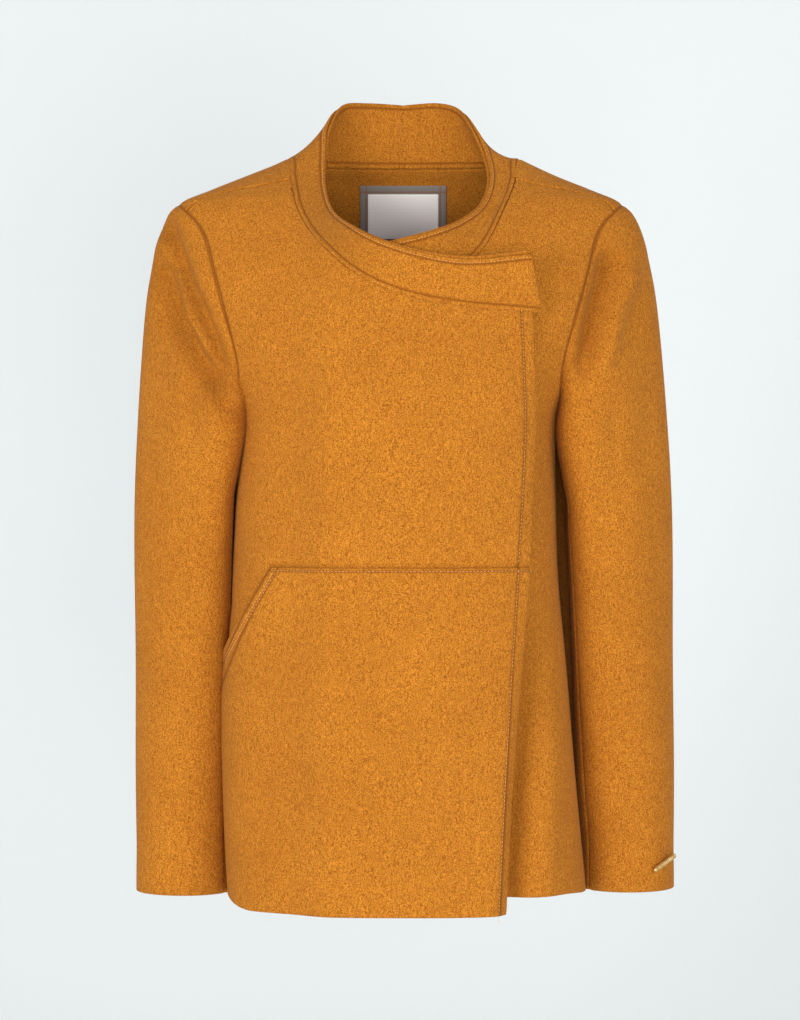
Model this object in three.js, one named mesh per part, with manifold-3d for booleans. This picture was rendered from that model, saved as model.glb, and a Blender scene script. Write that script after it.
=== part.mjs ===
// A hip-length wrap jacket in thick boiled wool, millimetres, +Z up, front towards -Y.
// The origin is the middle of the neck at the height of the shoulder neck points.
// "Right" and "left" are the wearer's, so the right front is on the -X side.
import * as THREE from "three";
import { mergeVertices } from "three/addons/utils/BufferGeometryUtils.js";
import Module from "manifold-3d";

const wasm = await Module();
wasm.setup();

// Driving sizes
const clothThickness = 3;
const layerGap = 1.6;
const facingGap = 2.1;
const seamGap = 0.45;
const seamAngle = 0.2;
const topHeight = 8;
const neckHeight = 5;
const hemRight = -674;
const hemLeft = -660;
const hemBack = -664;
const wrapLift = 12;
const facingFrom = { right: 0.78, left: 0.7 };
const facingTo = 0.985;
const facingTop = -108;
const neckFacingAngle = 62;
const neckFacingGap = 2.2;
const neckFacingHeight = 68;
const cuffTurnFrom = 0.94;
const cuffTurnSheet = 2.6;
const collarClear = 4.5;
const collarEndGap = 0.003;
const armholeClear = 3;
const underarmClear = 6;
const sleeveSeamDegrees = 150;
const sleeveSeamTurn = 0.006;
const foldOffset = -5;
const foldNormal = [0.6, -0.8];
const armhole = { top: -38, bottom: -228, depth: 68, corner: 2.3, skew: 0.22 };
const cuffs = {
  right: { x: -203, y: 14, wide: 39, deep: 45, z: -666 },
  left: { x: 208, y: 14, wide: 37.5, deep: 45, z: -663 },
};
const pocket = {
  top: -366, from: 0.02, to: 0.97, mouthX: -115, mouthFootX: -152, mouthFootZ: -446,
};
const label = { width: 80, top: -9, bottom: -64, rim: 7, sheet: 0.8 };
const bar = {
  length: 34, radius: 2.2, height: -637, rise: 0.38, stand: 0.4,
  plateWidth: 6, plateSheet: 0.8, plateDepth: 7,
};
const stud = {
  x: 62, radius: 6.5, knob: { radius: 2, rise: 0.3 }, boss: { radius: 3.2, rise: 0.15 },
  ballFoot: 3.4, socketFoot: 5.6, heights: { upper: -165, lower: -330 },
};

const mustard = { color: 0xd3873a, roughness: 0.92, metalness: 0 };
const innerMustard = { color: 0xb36924, roughness: 0.95, metalness: 0 };
const labelGrey = { color: 0x524942, roughness: 0.85, metalness: 0 };
const labelPale = { color: 0xd9cfc8, roughness: 0.6, metalness: 0 };
const brass = { color: 0xc79a4b, roughness: 0.32, metalness: 1 };
const steel = { color: 0x9a9a96, roughness: 0.4, metalness: 1 };

const jacket = new THREE.Group();

// Smooth curve through [position, value] stations sorted from high to low position.
function through(stations, at) {
  const last = stations.length - 1;
  if (at >= stations[0][0]) return stations[0][1];
  if (at <= stations[last][0]) return stations[last][1];
  let i = 0;
  while (at < stations[i + 1][0]) i += 1;
  const slope = (a, b) => (stations[b][1] - stations[a][1]) / (stations[b][0] - stations[a][0]);
  const [z0, y0] = stations[i];
  const [z1, y1] = stations[i + 1];
  const step = z1 - z0;
  const m0 = i > 0 ? slope(i - 1, i + 1) : slope(i, i + 1);
  const m1 = i + 1 < last ? slope(i, i + 2) : slope(i, i + 1);
  const t = (at - z0) / step;
  const t2 = t * t;
  const t3 = t2 * t;
  return (
    (2 * t3 - 3 * t2 + 1) * y0 +
    (t3 - 2 * t2 + t) * step * m0 +
    (3 * t2 - 2 * t3) * y1 +
    (t3 - t2) * step * m1
  );
}

// Body shape by height: half-widths to each side, depths to front and back, squareness.
const rightHalfWidth = [
  [10, 96], [0, 116], [-12, 146], [-24, 176], [-36, 203], [-60, 206], [-100, 202],
  [-150, 187], [-200, 162], [-232, 148], [-320, 151], [-400, 153], [-600, 154], [-690, 153],
];
const leftHalfWidth = [
  [10, 96], [0, 116], [-12, 142], [-24, 172], [-36, 198], [-60, 201], [-100, 197],
  [-150, 181], [-200, 156], [-232, 141], [-320, 139], [-400, 141], [-600, 152], [-690, 158],
];
const frontDepth = [
  [10, 24], [0, 30], [-12, 40], [-24, 50], [-36, 60], [-60, 78], [-100, 100],
  [-150, 113], [-200, 119], [-320, 122], [-500, 120], [-690, 118],
];
const backDepth = [
  [10, 54], [0, 66], [-12, 74], [-36, 86], [-60, 95], [-100, 105], [-150, 112],
  [-232, 112], [-320, 104], [-450, 104], [-690, 118],
];
const squareness = [[0, 2.1], [-60, 2.2], [-150, 2.3], [-300, 2.5], [-690, 2.6]];

const signedPower = (value, power) => Math.sign(value) * Math.abs(value) ** power;
const halfWidthAt = (x, z) => through(x < 0 ? rightHalfWidth : leftHalfWidth, z);

// Inner face of the body cloth at an angle (0 front, +90 left side, 180 back) and a height.
function onBody(degrees, z) {
  const angle = THREE.MathUtils.degToRad(degrees);
  const power = 2 / through(squareness, z);
  const side = Math.sin(angle);
  const ahead = Math.cos(angle);
  const depth = through(ahead > 0 ? frontDepth : backDepth, z);
  return new THREE.Vector3(
    halfWidthAt(side, z) * signedPower(side, power),
    -depth * signedPower(ahead, power),
    z,
  );
}

// Angle on the front of the body at which x is reached.
function angleAtX(x, z) {
  const ratio = Math.min(1, Math.abs(x) / halfWidthAt(x, z));
  const angle = Math.asin(ratio ** (through(squareness, z) / 2));
  return THREE.MathUtils.radToDeg(Math.sign(x) * angle);
}

// Point on the side of the body at a depth y and a height.
function onSide(side, y, z) {
  const depth = through(y < 0 ? frontDepth : backDepth, z);
  const power = through(squareness, z);
  const x = halfWidthAt(side, z) * (1 - Math.min(1, Math.abs(y) / depth) ** power) ** (1 / power);
  return new THREE.Vector3(side * x, y, z);
}

const span = (count, make) => Array.from({ length: count + 1 }, (_, i) => make(i / count));

// A closed slab over a (u, v) surface, between two offsets along its outward normal.
// Outward is away from the line that the centre function gives.
function slab(surface, across, down, low, high, { closed = false, centre = null } = {}) {
  const nearby = 1e-3;
  const pointAt = (u, v, offset) => {
    const p = surface(u, v);
    const u0 = closed ? u - nearby : Math.max(0, u - nearby);
    const u1 = closed ? u + nearby : Math.min(1, u + nearby);
    const du = surface(u1, v).sub(surface(u0, v));
    const v0 = Math.max(0, v - nearby);
    const v1 = Math.min(1, v + nearby);
    const dv = surface(u, v1).sub(surface(u, v0));
    const normal = du.cross(dv).normalize();
    const middle = centre ? centre(u, v) : new THREE.Vector3(0, 0, p.z - 0.3 * Math.abs(p.x));
    if (normal.dot(p.clone().sub(middle)) < 0) normal.negate();
    const lift = typeof offset === "function" ? offset(p) : offset;
    return p.addScaledVector(normal, lift);
  };
  const columns = closed ? across : across + 1;
  const positions = [];
  for (const offset of [low, high])
    for (let j = 0; j <= down; j += 1)
      for (let i = 0; i < columns; i += 1)
        positions.push(...pointAt(i / across, j / down, offset).toArray());
  const layer = columns * (down + 1);
  const id = (i, j, k) => (i % columns) + j * columns + k * layer;
  const index = [];
  const quad = (a, b, c, d) => index.push(a, b, c, a, c, d);
  for (let j = 0; j < down; j += 1)
    for (let i = 0; i < across; i += 1) {
      quad(id(i, j, 0), id(i, j + 1, 0), id(i + 1, j + 1, 0), id(i + 1, j, 0));
      quad(id(i, j, 1), id(i + 1, j, 1), id(i + 1, j + 1, 1), id(i, j + 1, 1));
    }
  for (let i = 0; i < across; i += 1) {
    quad(id(i, 0, 0), id(i + 1, 0, 0), id(i + 1, 0, 1), id(i, 0, 1));
    quad(id(i, down, 1), id(i + 1, down, 1), id(i + 1, down, 0), id(i, down, 0));
  }
  if (!closed)
    for (let j = 0; j < down; j += 1) {
      quad(id(0, j, 1), id(0, j + 1, 1), id(0, j + 1, 0), id(0, j, 0));
      quad(id(across, j, 0), id(across, j + 1, 0), id(across, j + 1, 1), id(across, j, 1));
    }
  return facingOut(positions, index);
}

// Turns every face round if the closed mesh would be inside out.
function facingOut(positions, index) {
  let volume = 0;
  const corner = (i) => new THREE.Vector3().fromArray(positions, 3 * i);
  for (let i = 0; i < index.length; i += 3)
    volume += corner(index[i]).dot(corner(index[i + 1]).cross(corner(index[i + 2])));
  if (volume < 0)
    for (let i = 0; i < index.length; i += 3)
      [index[i + 1], index[i + 2]] = [index[i + 2], index[i + 1]];
  const geometry = new THREE.BufferGeometry();
  geometry.setAttribute("position", new THREE.Float32BufferAttribute(positions, 3));
  geometry.setIndex(index);
  return geometry;
}

function addPiece(name, geometry, look) {
  geometry.computeVertexNormals();
  const piece = new THREE.Mesh(geometry, new THREE.MeshStandardMaterial(look));
  piece.name = name;
  jacket.add(piece);
  return piece;
}

// Boolean helpers: a geometry as a solid, and back.
function toSolid(geometry) {
  const bare = geometry.clone();
  for (const extra of ["normal", "uv"]) bare.deleteAttribute(extra);
  const merged = mergeVertices(bare, 1e-4);
  return new wasm.Manifold(
    new wasm.Mesh({
      numProp: 3,
      vertProperties: new Float32Array(merged.attributes.position.array),
      triVerts: new Uint32Array(merged.index.array),
    }),
  );
}

function toGeometry(solid) {
  const mesh = solid.getMesh();
  return facingOut(Array.from(mesh.vertProperties), Array.from(mesh.triVerts));
}

const cut = (geometry, ...cutters) =>
  toGeometry(cutters.reduce((solid, cutter) => solid.subtract(toSolid(cutter)), toSolid(geometry)));

// Cuts a front piece along its upright fold line into the still part and the opening part.
function splitAtFold(geometry, side) {
  const normal = new THREE.Vector3(-side * foldNormal[0], foldNormal[1], 0);
  const half = 1200;
  const block = (sign) => {
    const away = foldOffset + sign * (half - seamGap / 2);
    return new THREE.BoxGeometry(2 * half, 2 * half, 2 * half)
      .rotateZ(Math.atan2(normal.y, normal.x))
      .translate(normal.x * away, normal.y * away, 0);
  };
  return [cut(geometry, block(1)), cut(geometry, block(-1))];
}

// Cutters for the openings of the body
const cutterReach = 300;

// How far the armhole reaches to the front and back; "up" is -1 at its foot and 1 at its top.
const armholeReach = (up) => armhole.depth * (1 - armhole.skew * up);

// Armhole: a rounded slot seen from the side, taken through one side of the body.
function armholeCutter(side) {
  const middle = (armhole.top + armhole.bottom) / 2;
  const halfHeight = (armhole.top - armhole.bottom) / 2;
  const outline = span(40, (t) => {
    const turn = 2 * Math.PI * t;
    const up = signedPower(Math.sin(turn), 2 / armhole.corner);
    return new THREE.Vector2(
      armholeReach(up) * signedPower(Math.cos(turn), 2 / armhole.corner),
      middle + halfHeight * up,
    );
  }).slice(0, -1);
  const inner = 90;
  return new THREE.ExtrudeGeometry(new THREE.Shape(outline), {
    depth: cutterReach - inner,
    bevelEnabled: false,
  })
    .applyMatrix4(
      new THREE.Matrix4().makeBasis(
        new THREE.Vector3(0, 1, 0),
        new THREE.Vector3(0, 0, 1),
        new THREE.Vector3(1, 0, 0),
      ),
    )
    .translate(side > 0 ? inner : -cutterReach, 0, 0);
}

// Front neckline of each front as x and z, from the shoulder to past its free edge.
const necklines = {
  right: [
    [-104, 6], [-103, -12], [-95, -46], [-74, -81], [-43, -109], [-3, -127], [50, -137],
    [118, -141],
  ],
  left: [
    [104, 6], [103, -12], [93, -40], [73, -80], [45, -106], [5, -121], [-30, -129], [-64, -133],
  ],
};

// A prism along Y over an outline in x and z.
function prism(outline, nearY, farY) {
  return new THREE.ExtrudeGeometry(new THREE.Shape(outline), {
    depth: farY - nearY,
    bevelEnabled: false,
  })
    .rotateX(Math.PI / 2)
    .translate(0, farY, 0);
}

function neckCutter(name, nearY, farY) {
  const line = new THREE.SplineCurve(
    necklines[name].map(([x, z]) => new THREE.Vector2(x, z)),
  ).getPoints(24);
  const far = Math.sign(line.at(-1).x) * cutterReach;
  return prism(
    [
      new THREE.Vector2(line[0].x, cutterReach),
      ...line,
      new THREE.Vector2(far, line.at(-1).y),
      new THREE.Vector2(far, cutterReach),
    ],
    nearY,
    farY,
  );
}

// Lift of the right front over the left: nothing at its side, full past the middle.
const wrapRamp = (p) => wrapLift * THREE.MathUtils.smoothstep(p.x, -104, -58);

// Free front edges as x by height.
const freeEdges = {
  right: [[-120, 110], [-220, 110], [-300, 107], [-400, 102], [-560, 95], [-686, 90]],
  left: [[-120, -56], [-660, -60]],
};

// Hem height of each front by the share of the way from the side seam to the free edge.
function frontHem(name, share) {
  const low = name === "right" ? hemRight : hemLeft;
  return hemBack + (low - hemBack) * THREE.MathUtils.smoothstep(share, 0, 0.3);
}

// Rows of a panel lie closer together over the shoulder than below it.
const rowShare = (v) => (v < 0.3 ? 0.17 * (v / 0.3) : 0.17 + (0.83 * (v - 0.3)) / 0.7);

// Front piece between two places across it: 0 is the side seam, 1 the free edge.
function frontSurface(name, from, to, top = topHeight) {
  const side = name === "right" ? -1 : 1;
  return (u, v) => {
    const share = from(v) + u * (to(v) - from(v));
    const z = top + (top === topHeight ? rowShare(v) : v) * (frontHem(name, share) - top);
    const start = side * (90 - seamAngle);
    const end = angleAtX(through(freeEdges[name], z), z);
    return onBody(start + share * (end - start), z);
  };
}

const always = (value) => () => value;

// Cut pieces of the body
const neckReach = { nearY: -250, farY: 12 };
const aboveShoulder = (y) =>
  new THREE.BoxGeometry(2 * cutterReach, 2 * Math.abs(y), 60).translate(0, y, 30 + neckHeight);

addPiece(
  "back_panel",
  cut(
    slab(
      (u, v) => {
        const z = topHeight + rowShare(v) * (hemBack - topHeight);
        return onBody(90 + seamAngle + u * (180 - 2 * seamAngle), z);
      },
      22, 17, 0, clothThickness,
    ),
    armholeCutter(-1), armholeCutter(1), aboveShoulder(70),
  ),
  mustard,
);

// Corner of the patch panel taken away by the slanted pocket mouth.
function mouthCutter() {
  const beyond = 60;
  return prism(
    [
      new THREE.Vector2(pocket.mouthX, pocket.top + beyond),
      new THREE.Vector2(pocket.mouthX, pocket.top),
      new THREE.Vector2(pocket.mouthFootX, pocket.mouthFootZ),
      new THREE.Vector2(pocket.mouthFootX - beyond, pocket.mouthFootZ),
      new THREE.Vector2(pocket.mouthFootX - beyond, pocket.top + beyond),
    ],
    -cutterReach,
    cutterReach,
  );
}

function addSplit(name, geometry, side, look) {
  const [still, opening] = splitAtFold(geometry, side);
  addPiece(name + "_side", still, look);
  addPiece(name + "_wrap", opening, look);
}

function addFront(name, side) {
  const lift = name === "right" ? wrapRamp : always(0);
  const between = (low, high) => [(p) => lift(p) + low, (p) => lift(p) + high];
  const neck = neckCutter(name, neckReach.nearY, neckReach.farY);
  const whole = slab(
    frontSurface(name, always(0), always(1)),
    name === "right" ? 20 : 15, 17, ...between(0, clothThickness),
  );
  addSplit(name + "_front", cut(whole, armholeCutter(side), neck, aboveShoulder(-120)), side, mustard);

  const facing = slab(
    frontSurface(name, always(facingFrom[name]), always(facingTo), facingTop),
    6, 14, ...between(-facingGap - clothThickness, -facingGap),
  );
  addPiece(name + "_front_facing", cut(facing, neck), innerMustard);

  if (name === "right") {
    const panel = slab(
      frontSurface(name, always(pocket.from), always(pocket.to), pocket.top),
      16, 8, ...between(clothThickness + layerGap, 2 * clothThickness + layerGap),
    );
    addSplit("right_pocket", cut(panel, mouthCutter()), side, mustard);
  }
}

addFront("right", -1);
addFront("left", 1);

// Back neck facing and the label on it
addPiece(
  "back_neck_facing",
  slab(
    (u, v) => onBody(180 + neckFacingAngle * (2 * u - 1), -6 - v * neckFacingHeight),
    14, 3, -neckFacingGap - clothThickness, -neckFacingGap,
  ),
  innerMustard,
);

function labelSheet(halfWidth, top, bottom, low, high) {
  return slab(
    (u, v) => {
      const z = top + v * (bottom - top);
      return onSideBack(halfWidth * (1 - 2 * u), z);
    },
    6, 2, low, high,
  );
}

// Point on the back of the body at a sideways place x and a height.
function onSideBack(x, z) {
  const power = through(squareness, z);
  const ratio = Math.min(1, Math.abs(x) / halfWidthAt(x, z));
  return new THREE.Vector3(x, through(backDepth, z) * (1 - ratio ** power) ** (1 / power), z);
}

const behindLabel = -neckFacingGap - clothThickness - 0.6;
const border = behindLabel - label.sheet;
const face = border - layerGap - label.sheet;
addPiece(
  "label_border",
  labelSheet(label.width / 2, label.top, label.bottom, border, behindLabel),
  labelGrey,
);
addPiece(
  "label_face",
  labelSheet(
    label.width / 2 - label.rim, label.top - label.rim, label.bottom + label.rim,
    face, border - layerGap,
  ),
  labelPale,
);

// Collar: each half stands from the neckline to its top edge, a lined double band.
const collarTops = {
  right: [
    [0, 66, 64], [-34, 62, 65.5], [-56, 48, 63], [-67, 24, 45], [-71, 2, 14], [-71, -22, -20],
    [-63, -50, -45], [-44, -82, -61], [-25, -100, -72], [-2, -112, -81], [50, -124, -92],
    [113, -115, -86],
  ],
  left: [
    [0, 66, 64], [34, 62, 65.5], [51, 48, 60], [64, 24, 40], [75, 2, 10], [78, -22, -14],
    [70, -48, -38], [50, -72, -55], [30, -88, -64], [8, -96, -71], [-20, -90, -77],
    [-58, -76, -84],
  ],
};

function collarSeam(name, side) {
  const back = [180, 200, 220, 240, 257, 272].map((q) =>
    onBody(side < 0 ? q : 360 - q, neckHeight - 1),
  );
  const front = necklines[name].slice(1).map(([x, z]) => {
    const p = onBody(angleAtX(x, z), z);
    const lift = side < 0 ? wrapRamp(p) : 0;
    return new THREE.Vector3(p.x, p.y - lift, p.z);
  });
  return new THREE.CatmullRomCurve3([...back, ...front]);
}

function collarSurface(name, side) {
  const seam = collarSeam(name, side);
  const top = new THREE.CatmullRomCurve3(
    collarTops[name].map(([x, y, z]) => new THREE.Vector3(x, y, z)),
  );
  return (u, v) => {
    const share = collarEndGap + (1 - 2 * collarEndGap) * u;
    const foot = seam.getPointAt(share);
    const edge = top.getPointAt(share);
    const clear = collarClear / foot.distanceTo(edge);
    return foot.lerp(edge, clear + v * (1 - clear));
  };
}

function addCollar(name, side) {
  const surface = collarSurface(name, side);
  const centre = (u, v) => new THREE.Vector3(0, 0, surface(u, v).z);
  const layers = [
    ["_collar", layerGap / 2, layerGap / 2 + clothThickness, mustard],
    ["_collar_facing", -layerGap / 2 - clothThickness, -layerGap / 2, innerMustard],
  ];
  for (const [suffix, low, high, look] of layers) {
    const band = slab(surface, 26, 2, low, high, { centre });
    const [still, opening] = splitAtFold(band, side);
    addPiece(name + suffix + "_back", still, look);
    addPiece(name + suffix + "_front", opening, look);
  }
}

addCollar("right", -1);
addCollar("left", 1);

// Sleeves: from the armhole edge out over the shoulder and down to the cuff.
function armholePoint(side, turn) {
  const middle = (armhole.top + armhole.bottom) / 2;
  const halfHeight = (armhole.top - armhole.bottom) / 2;
  const power = 2 / armhole.corner;
  const up = signedPower(Math.cos(turn), power);
  const y = -armholeReach(up) * signedPower(Math.sin(turn), power);
  const z = middle + halfHeight * up;
  const p = onSide(side, y, z);
  const below = 0.5 - 0.5 * Math.cos(turn);
  p.x += side * (clothThickness + armholeClear + underarmClear * below);
  return p;
}

function cuffPoint(name, side, turn) {
  const cuff = cuffs[name];
  return new THREE.Vector3(
    cuff.x + side * cuff.wide * Math.cos(turn),
    cuff.y - cuff.deep * Math.sin(turn),
    cuff.z,
  );
}

// turn is 0 at the top of the armhole and grows towards the front.
function sleeveSurface(name, side) {
  return (turn, v) => {
    const from = armholePoint(side, turn);
    const to = cuffPoint(name, side, turn);
    const top = 0.5 + 0.5 * Math.cos(turn);
    const outward = new THREE.Vector3(side * (65 + 75 * top), 0, -40 - 60 * (1 - top));
    const downward = new THREE.Vector3(0, 0, 1.05 * (to.z - from.z));
    const [v2, v3] = [v * v, v * v * v];
    return new THREE.Vector3()
      .addScaledVector(from, 2 * v3 - 3 * v2 + 1)
      .addScaledVector(outward, v3 - 2 * v2 + v)
      .addScaledVector(to, 3 * v2 - 2 * v3)
      .addScaledVector(downward, v3 - v2);
  };
}

function addSleeve(name, side) {
  const surface = sleeveSurface(name, side);
  const half = (start, end) => (u, v) =>
    surface(start + sleeveSeamTurn + u * (end - start - 2 * sleeveSeamTurn), v ** 1.5);
  const centreOf = (v) => {
    const sum = new THREE.Vector3();
    const samples = 12;
    for (let k = 0; k < samples; k += 1) sum.add(surface((2 * Math.PI * k) / samples, v));
    return sum.divideScalar(samples);
  };
  const centre = (u, v) => centreOf(v ** 1.5);
  const seam = THREE.MathUtils.degToRad(sleeveSeamDegrees);
  const halves = [
    ["_sleeve_top", -seam, seam],
    ["_sleeve_under", seam, 2 * Math.PI - seam],
  ];
  for (const [suffix, start, end] of halves)
    addPiece(
      name + suffix,
      slab(half(start, end), suffix === "_sleeve_top" ? 14 : 5, 10, 0, clothThickness, { centre }),
      mustard,
    );
  const turned = (u, v) => {
    const cuff = cuffPoint(name, side, 2 * Math.PI * u);
    const above = surface(2 * Math.PI * u, cuffTurnFrom);
    return cuff.setZ(cuff.z + 1).lerp(above, 1 - v);
  };
  addPiece(
    name + "_cuff_hem",
    slab(turned, 20, 1, -layerGap - cuffTurnSheet, -layerGap - 0.2, {
      closed: true,
      centre: (u, v) => centreOf(cuffTurnFrom + v * (1 - cuffTurnFrom)),
    }),
    innerMustard,
  );
}

addSleeve("right", -1);
addSleeve("left", 1);

// Ornamental bar on the left cuff, with its backing plate inside the sleeve.
const barTurn = Math.PI * 0.75;
const barFoot = cuffPoint("left", 1, Math.PI - barTurn);
const barAlong = new THREE.Vector3(
  cuffs.left.wide * Math.sin(Math.PI - barTurn),
  cuffs.left.deep * Math.cos(Math.PI - barTurn),
  0,
).normalize();
const barOut = new THREE.Vector3(barAlong.y, -barAlong.x, 0);
barAlong.setZ(bar.rise).normalize();

function barPlace(distance) {
  return barFoot
    .clone()
    .addScaledVector(barOut, distance)
    .setZ(bar.height)
    .toArray();
}

const barShape = new THREE.CapsuleGeometry(bar.radius, bar.length - 2 * bar.radius, 3, 10);
const barTurnTo = new THREE.Quaternion().setFromUnitVectors(
  new THREE.Vector3(0, 1, 0),
  barAlong,
);
addPiece("cuff_bar", barShape, brass);
jacket.children.at(-1).quaternion.copy(barTurnTo);
jacket.children.at(-1).position.set(...barPlace(clothThickness + bar.radius + bar.stand));
const plateShape = new THREE.BoxGeometry(bar.plateWidth, bar.length * 0.6, bar.plateSheet);
addPiece("cuff_bar_plate", plateShape, steel);
const upright = barOut.clone().cross(barAlong).negate();
jacket.children.at(-1).quaternion.setFromRotationMatrix(
  new THREE.Matrix4().makeBasis(upright, barAlong, upright.clone().cross(barAlong)),
);
jacket.children.at(-1).position.set(...barPlace(-bar.plateDepth));

// Hidden press studs between the fronts: a ball half on the left, a socket half on the right.
function studDisc(height, knob) {
  const profile = [
    [0, 0], [stud.radius, 0], [stud.radius, 0.6 * height], [0.85 * stud.radius, height],
    [knob.radius, height], [0.85 * knob.radius, height + knob.rise], [0, height + knob.rise],
  ].map(([x, y]) => new THREE.Vector2(x, y));
  return new THREE.LatheGeometry(profile, 14);
}

function bodyNormal(degrees, z) {
  const nearby = 0.5;
  const across = onBody(degrees + nearby, z).sub(onBody(degrees - nearby, z));
  const up = onBody(degrees, z + nearby).sub(onBody(degrees, z - nearby));
  return across.cross(up).normalize();
}

function addStud(name, z, offset, inward, shape) {
  const angle = angleAtX(stud.x, z);
  const normal = bodyNormal(angle, z);
  const axis = inward ? normal.clone().negate() : normal;
  const disc = addPiece(name, shape, steel);
  disc.quaternion.setFromUnitVectors(new THREE.Vector3(0, 1, 0), axis);
  disc.position.copy(onBody(angle, z).addScaledVector(normal, offset));
}

for (const [level, z] of Object.entries(stud.heights)) {
  addStud("stud_ball_" + level, z, stud.ballFoot, false, studDisc(0.8, stud.knob));
  addStud("stud_socket_" + level, z, stud.socketFoot, true, studDisc(0.7, stud.boss));
}

export default jacket;
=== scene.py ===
import math

import bpy
import numpy as np
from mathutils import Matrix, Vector


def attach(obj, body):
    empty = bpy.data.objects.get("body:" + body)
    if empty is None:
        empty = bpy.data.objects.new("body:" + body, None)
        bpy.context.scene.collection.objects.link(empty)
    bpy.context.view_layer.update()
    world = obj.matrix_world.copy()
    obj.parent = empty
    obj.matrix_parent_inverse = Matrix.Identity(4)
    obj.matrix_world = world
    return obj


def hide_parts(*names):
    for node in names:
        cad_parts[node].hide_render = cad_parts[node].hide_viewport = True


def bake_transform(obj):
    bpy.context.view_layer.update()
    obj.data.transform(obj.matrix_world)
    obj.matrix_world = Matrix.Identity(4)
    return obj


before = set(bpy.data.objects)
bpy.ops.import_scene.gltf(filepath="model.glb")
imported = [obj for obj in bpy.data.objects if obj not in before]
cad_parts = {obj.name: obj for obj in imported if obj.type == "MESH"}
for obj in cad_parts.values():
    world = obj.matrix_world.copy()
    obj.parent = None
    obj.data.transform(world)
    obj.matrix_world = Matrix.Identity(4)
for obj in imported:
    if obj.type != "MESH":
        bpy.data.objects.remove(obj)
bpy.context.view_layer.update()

print("stage: frame loaded")

# Lengths in the dictionaries are millimetres; meshes are scaled to metres as they are made.
toMetres = 0.001
cloth = {"thickness": 3.0, "rim": 1.15, "seamGap": 0.25, "cell": 3.4, "rimSteps": 4,
         "coarse": 1.6, "backCell": 1.15, "neckInset": 0.9}
farAway = 50.0  # stands for the distance to a seam that is not near
seamInset = cloth["rim"] + cloth["seamGap"] / 2
rowZero = 100.0  # distances to stitched rows are stored with this added, so that none is 0


# Curve through (position, value) stations from high to low, looked up at heights z
def smoothTable(stations):
    pos = np.array([s[0] for s in stations], float)[::-1]
    val = np.array([s[1] for s in stations], float)[::-1]
    slope = np.empty_like(val)
    slope[1:-1] = (val[2:] - val[:-2]) / (pos[2:] - pos[:-2])
    slope[0] = (val[1] - val[0]) / (pos[1] - pos[0])
    slope[-1] = (val[-1] - val[-2]) / (pos[-1] - pos[-2])

    def lookUp(z):
        at = np.clip(z, pos[0], pos[-1])
        i = np.clip(np.searchsorted(pos, at) - 1, 0, len(pos) - 2)
        step = pos[i + 1] - pos[i]
        t = (at - pos[i]) / step
        return ((2 * t**3 - 3 * t**2 + 1) * val[i] + (t**3 - 2 * t**2 + t) * step * slope[i]
                + (3 * t**2 - 2 * t**3) * val[i + 1] + (t**3 - t**2) * step * slope[i + 1])

    return lookUp


def smoothStep(value, low, high):
    t = np.clip((value - low) / (high - low), 0, 1)
    return t * t * (3 - 2 * t)


def signedPower(value, power):
    return np.sign(value) * np.abs(value) ** power


def unit(vectors):
    return vectors / np.maximum(np.linalg.norm(vectors, axis=-1, keepdims=True), 1e-9)


# Distance from points in a plane to a run of straight pieces
def distanceToLine(points, line):
    line = np.array(line, float)
    best = np.full(len(points), 1e9)
    for a, b in zip(line[:-1], line[1:]):
        t = np.clip(((points - a) @ (b - a)) / ((b - a) @ (b - a)), 0, 1)
        best = np.minimum(best, np.linalg.norm(points - (a + t[:, None] * (b - a)), axis=1))
    return best


# A smooth space curve through points, looked up by its share of length
def spaceCurve(points):
    points = np.array(points, float)
    chord = np.r_[0, np.cumsum(np.linalg.norm(np.diff(points, axis=0), axis=1) ** 0.75)]
    slope = np.gradient(points, chord, axis=0)
    at = np.linspace(0, chord[-1], 900)
    i = np.clip(np.searchsorted(chord, at) - 1, 0, len(chord) - 2)
    step = (chord[i + 1] - chord[i])[:, None]
    t = ((at - chord[i]) / step[:, 0])[:, None]
    dense = ((2 * t**3 - 3 * t**2 + 1) * points[i] + (t**3 - 2 * t**2 + t) * step * slope[i]
             + (3 * t**2 - 2 * t**3) * points[i + 1] + (t**3 - t**2) * step * slope[i + 1])
    length = np.r_[0, np.cumsum(np.linalg.norm(np.diff(dense, axis=0), axis=1))]

    def lookUp(share):
        want = np.clip(share, 0, 1) * length[-1]
        return np.stack([np.interp(want, length, dense[:, k]) for k in range(3)], axis=-1)

    return lookUp, length[-1]


# The body that every panel is cut from
bodyShape = {
    "rightHalfWidth": [
        [10, 96], [0, 116], [-12, 146], [-24, 176], [-36, 203], [-60, 206], [-100, 202],
        [-150, 187], [-200, 162], [-232, 148], [-320, 151], [-400, 153], [-600, 154], [-690, 153],
    ],
    "leftHalfWidth": [
        [10, 96], [0, 116], [-12, 142], [-24, 172], [-36, 198], [-60, 201], [-100, 197],
        [-150, 181], [-200, 156], [-232, 141], [-320, 139], [-400, 141], [-600, 152], [-690, 158],
    ],
    "frontDepth": [
        [10, 24], [0, 30], [-12, 40], [-24, 50], [-36, 60], [-60, 78], [-100, 100],
        [-150, 113], [-200, 119], [-320, 122], [-500, 120], [-690, 118],
    ],
    "backDepth": [
        [10, 54], [0, 66], [-12, 74], [-36, 86], [-60, 95], [-100, 105], [-150, 112],
        [-232, 112], [-320, 104], [-450, 104], [-690, 118],
    ],
    "squareness": [[0, 2.1], [-60, 2.2], [-150, 2.3], [-300, 2.5], [-690, 2.6]],
    "hemBack": -664.0,
}
shapeAt = {name: smoothTable(value) for name, value in bodyShape.items()
           if isinstance(value, list)}


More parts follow.
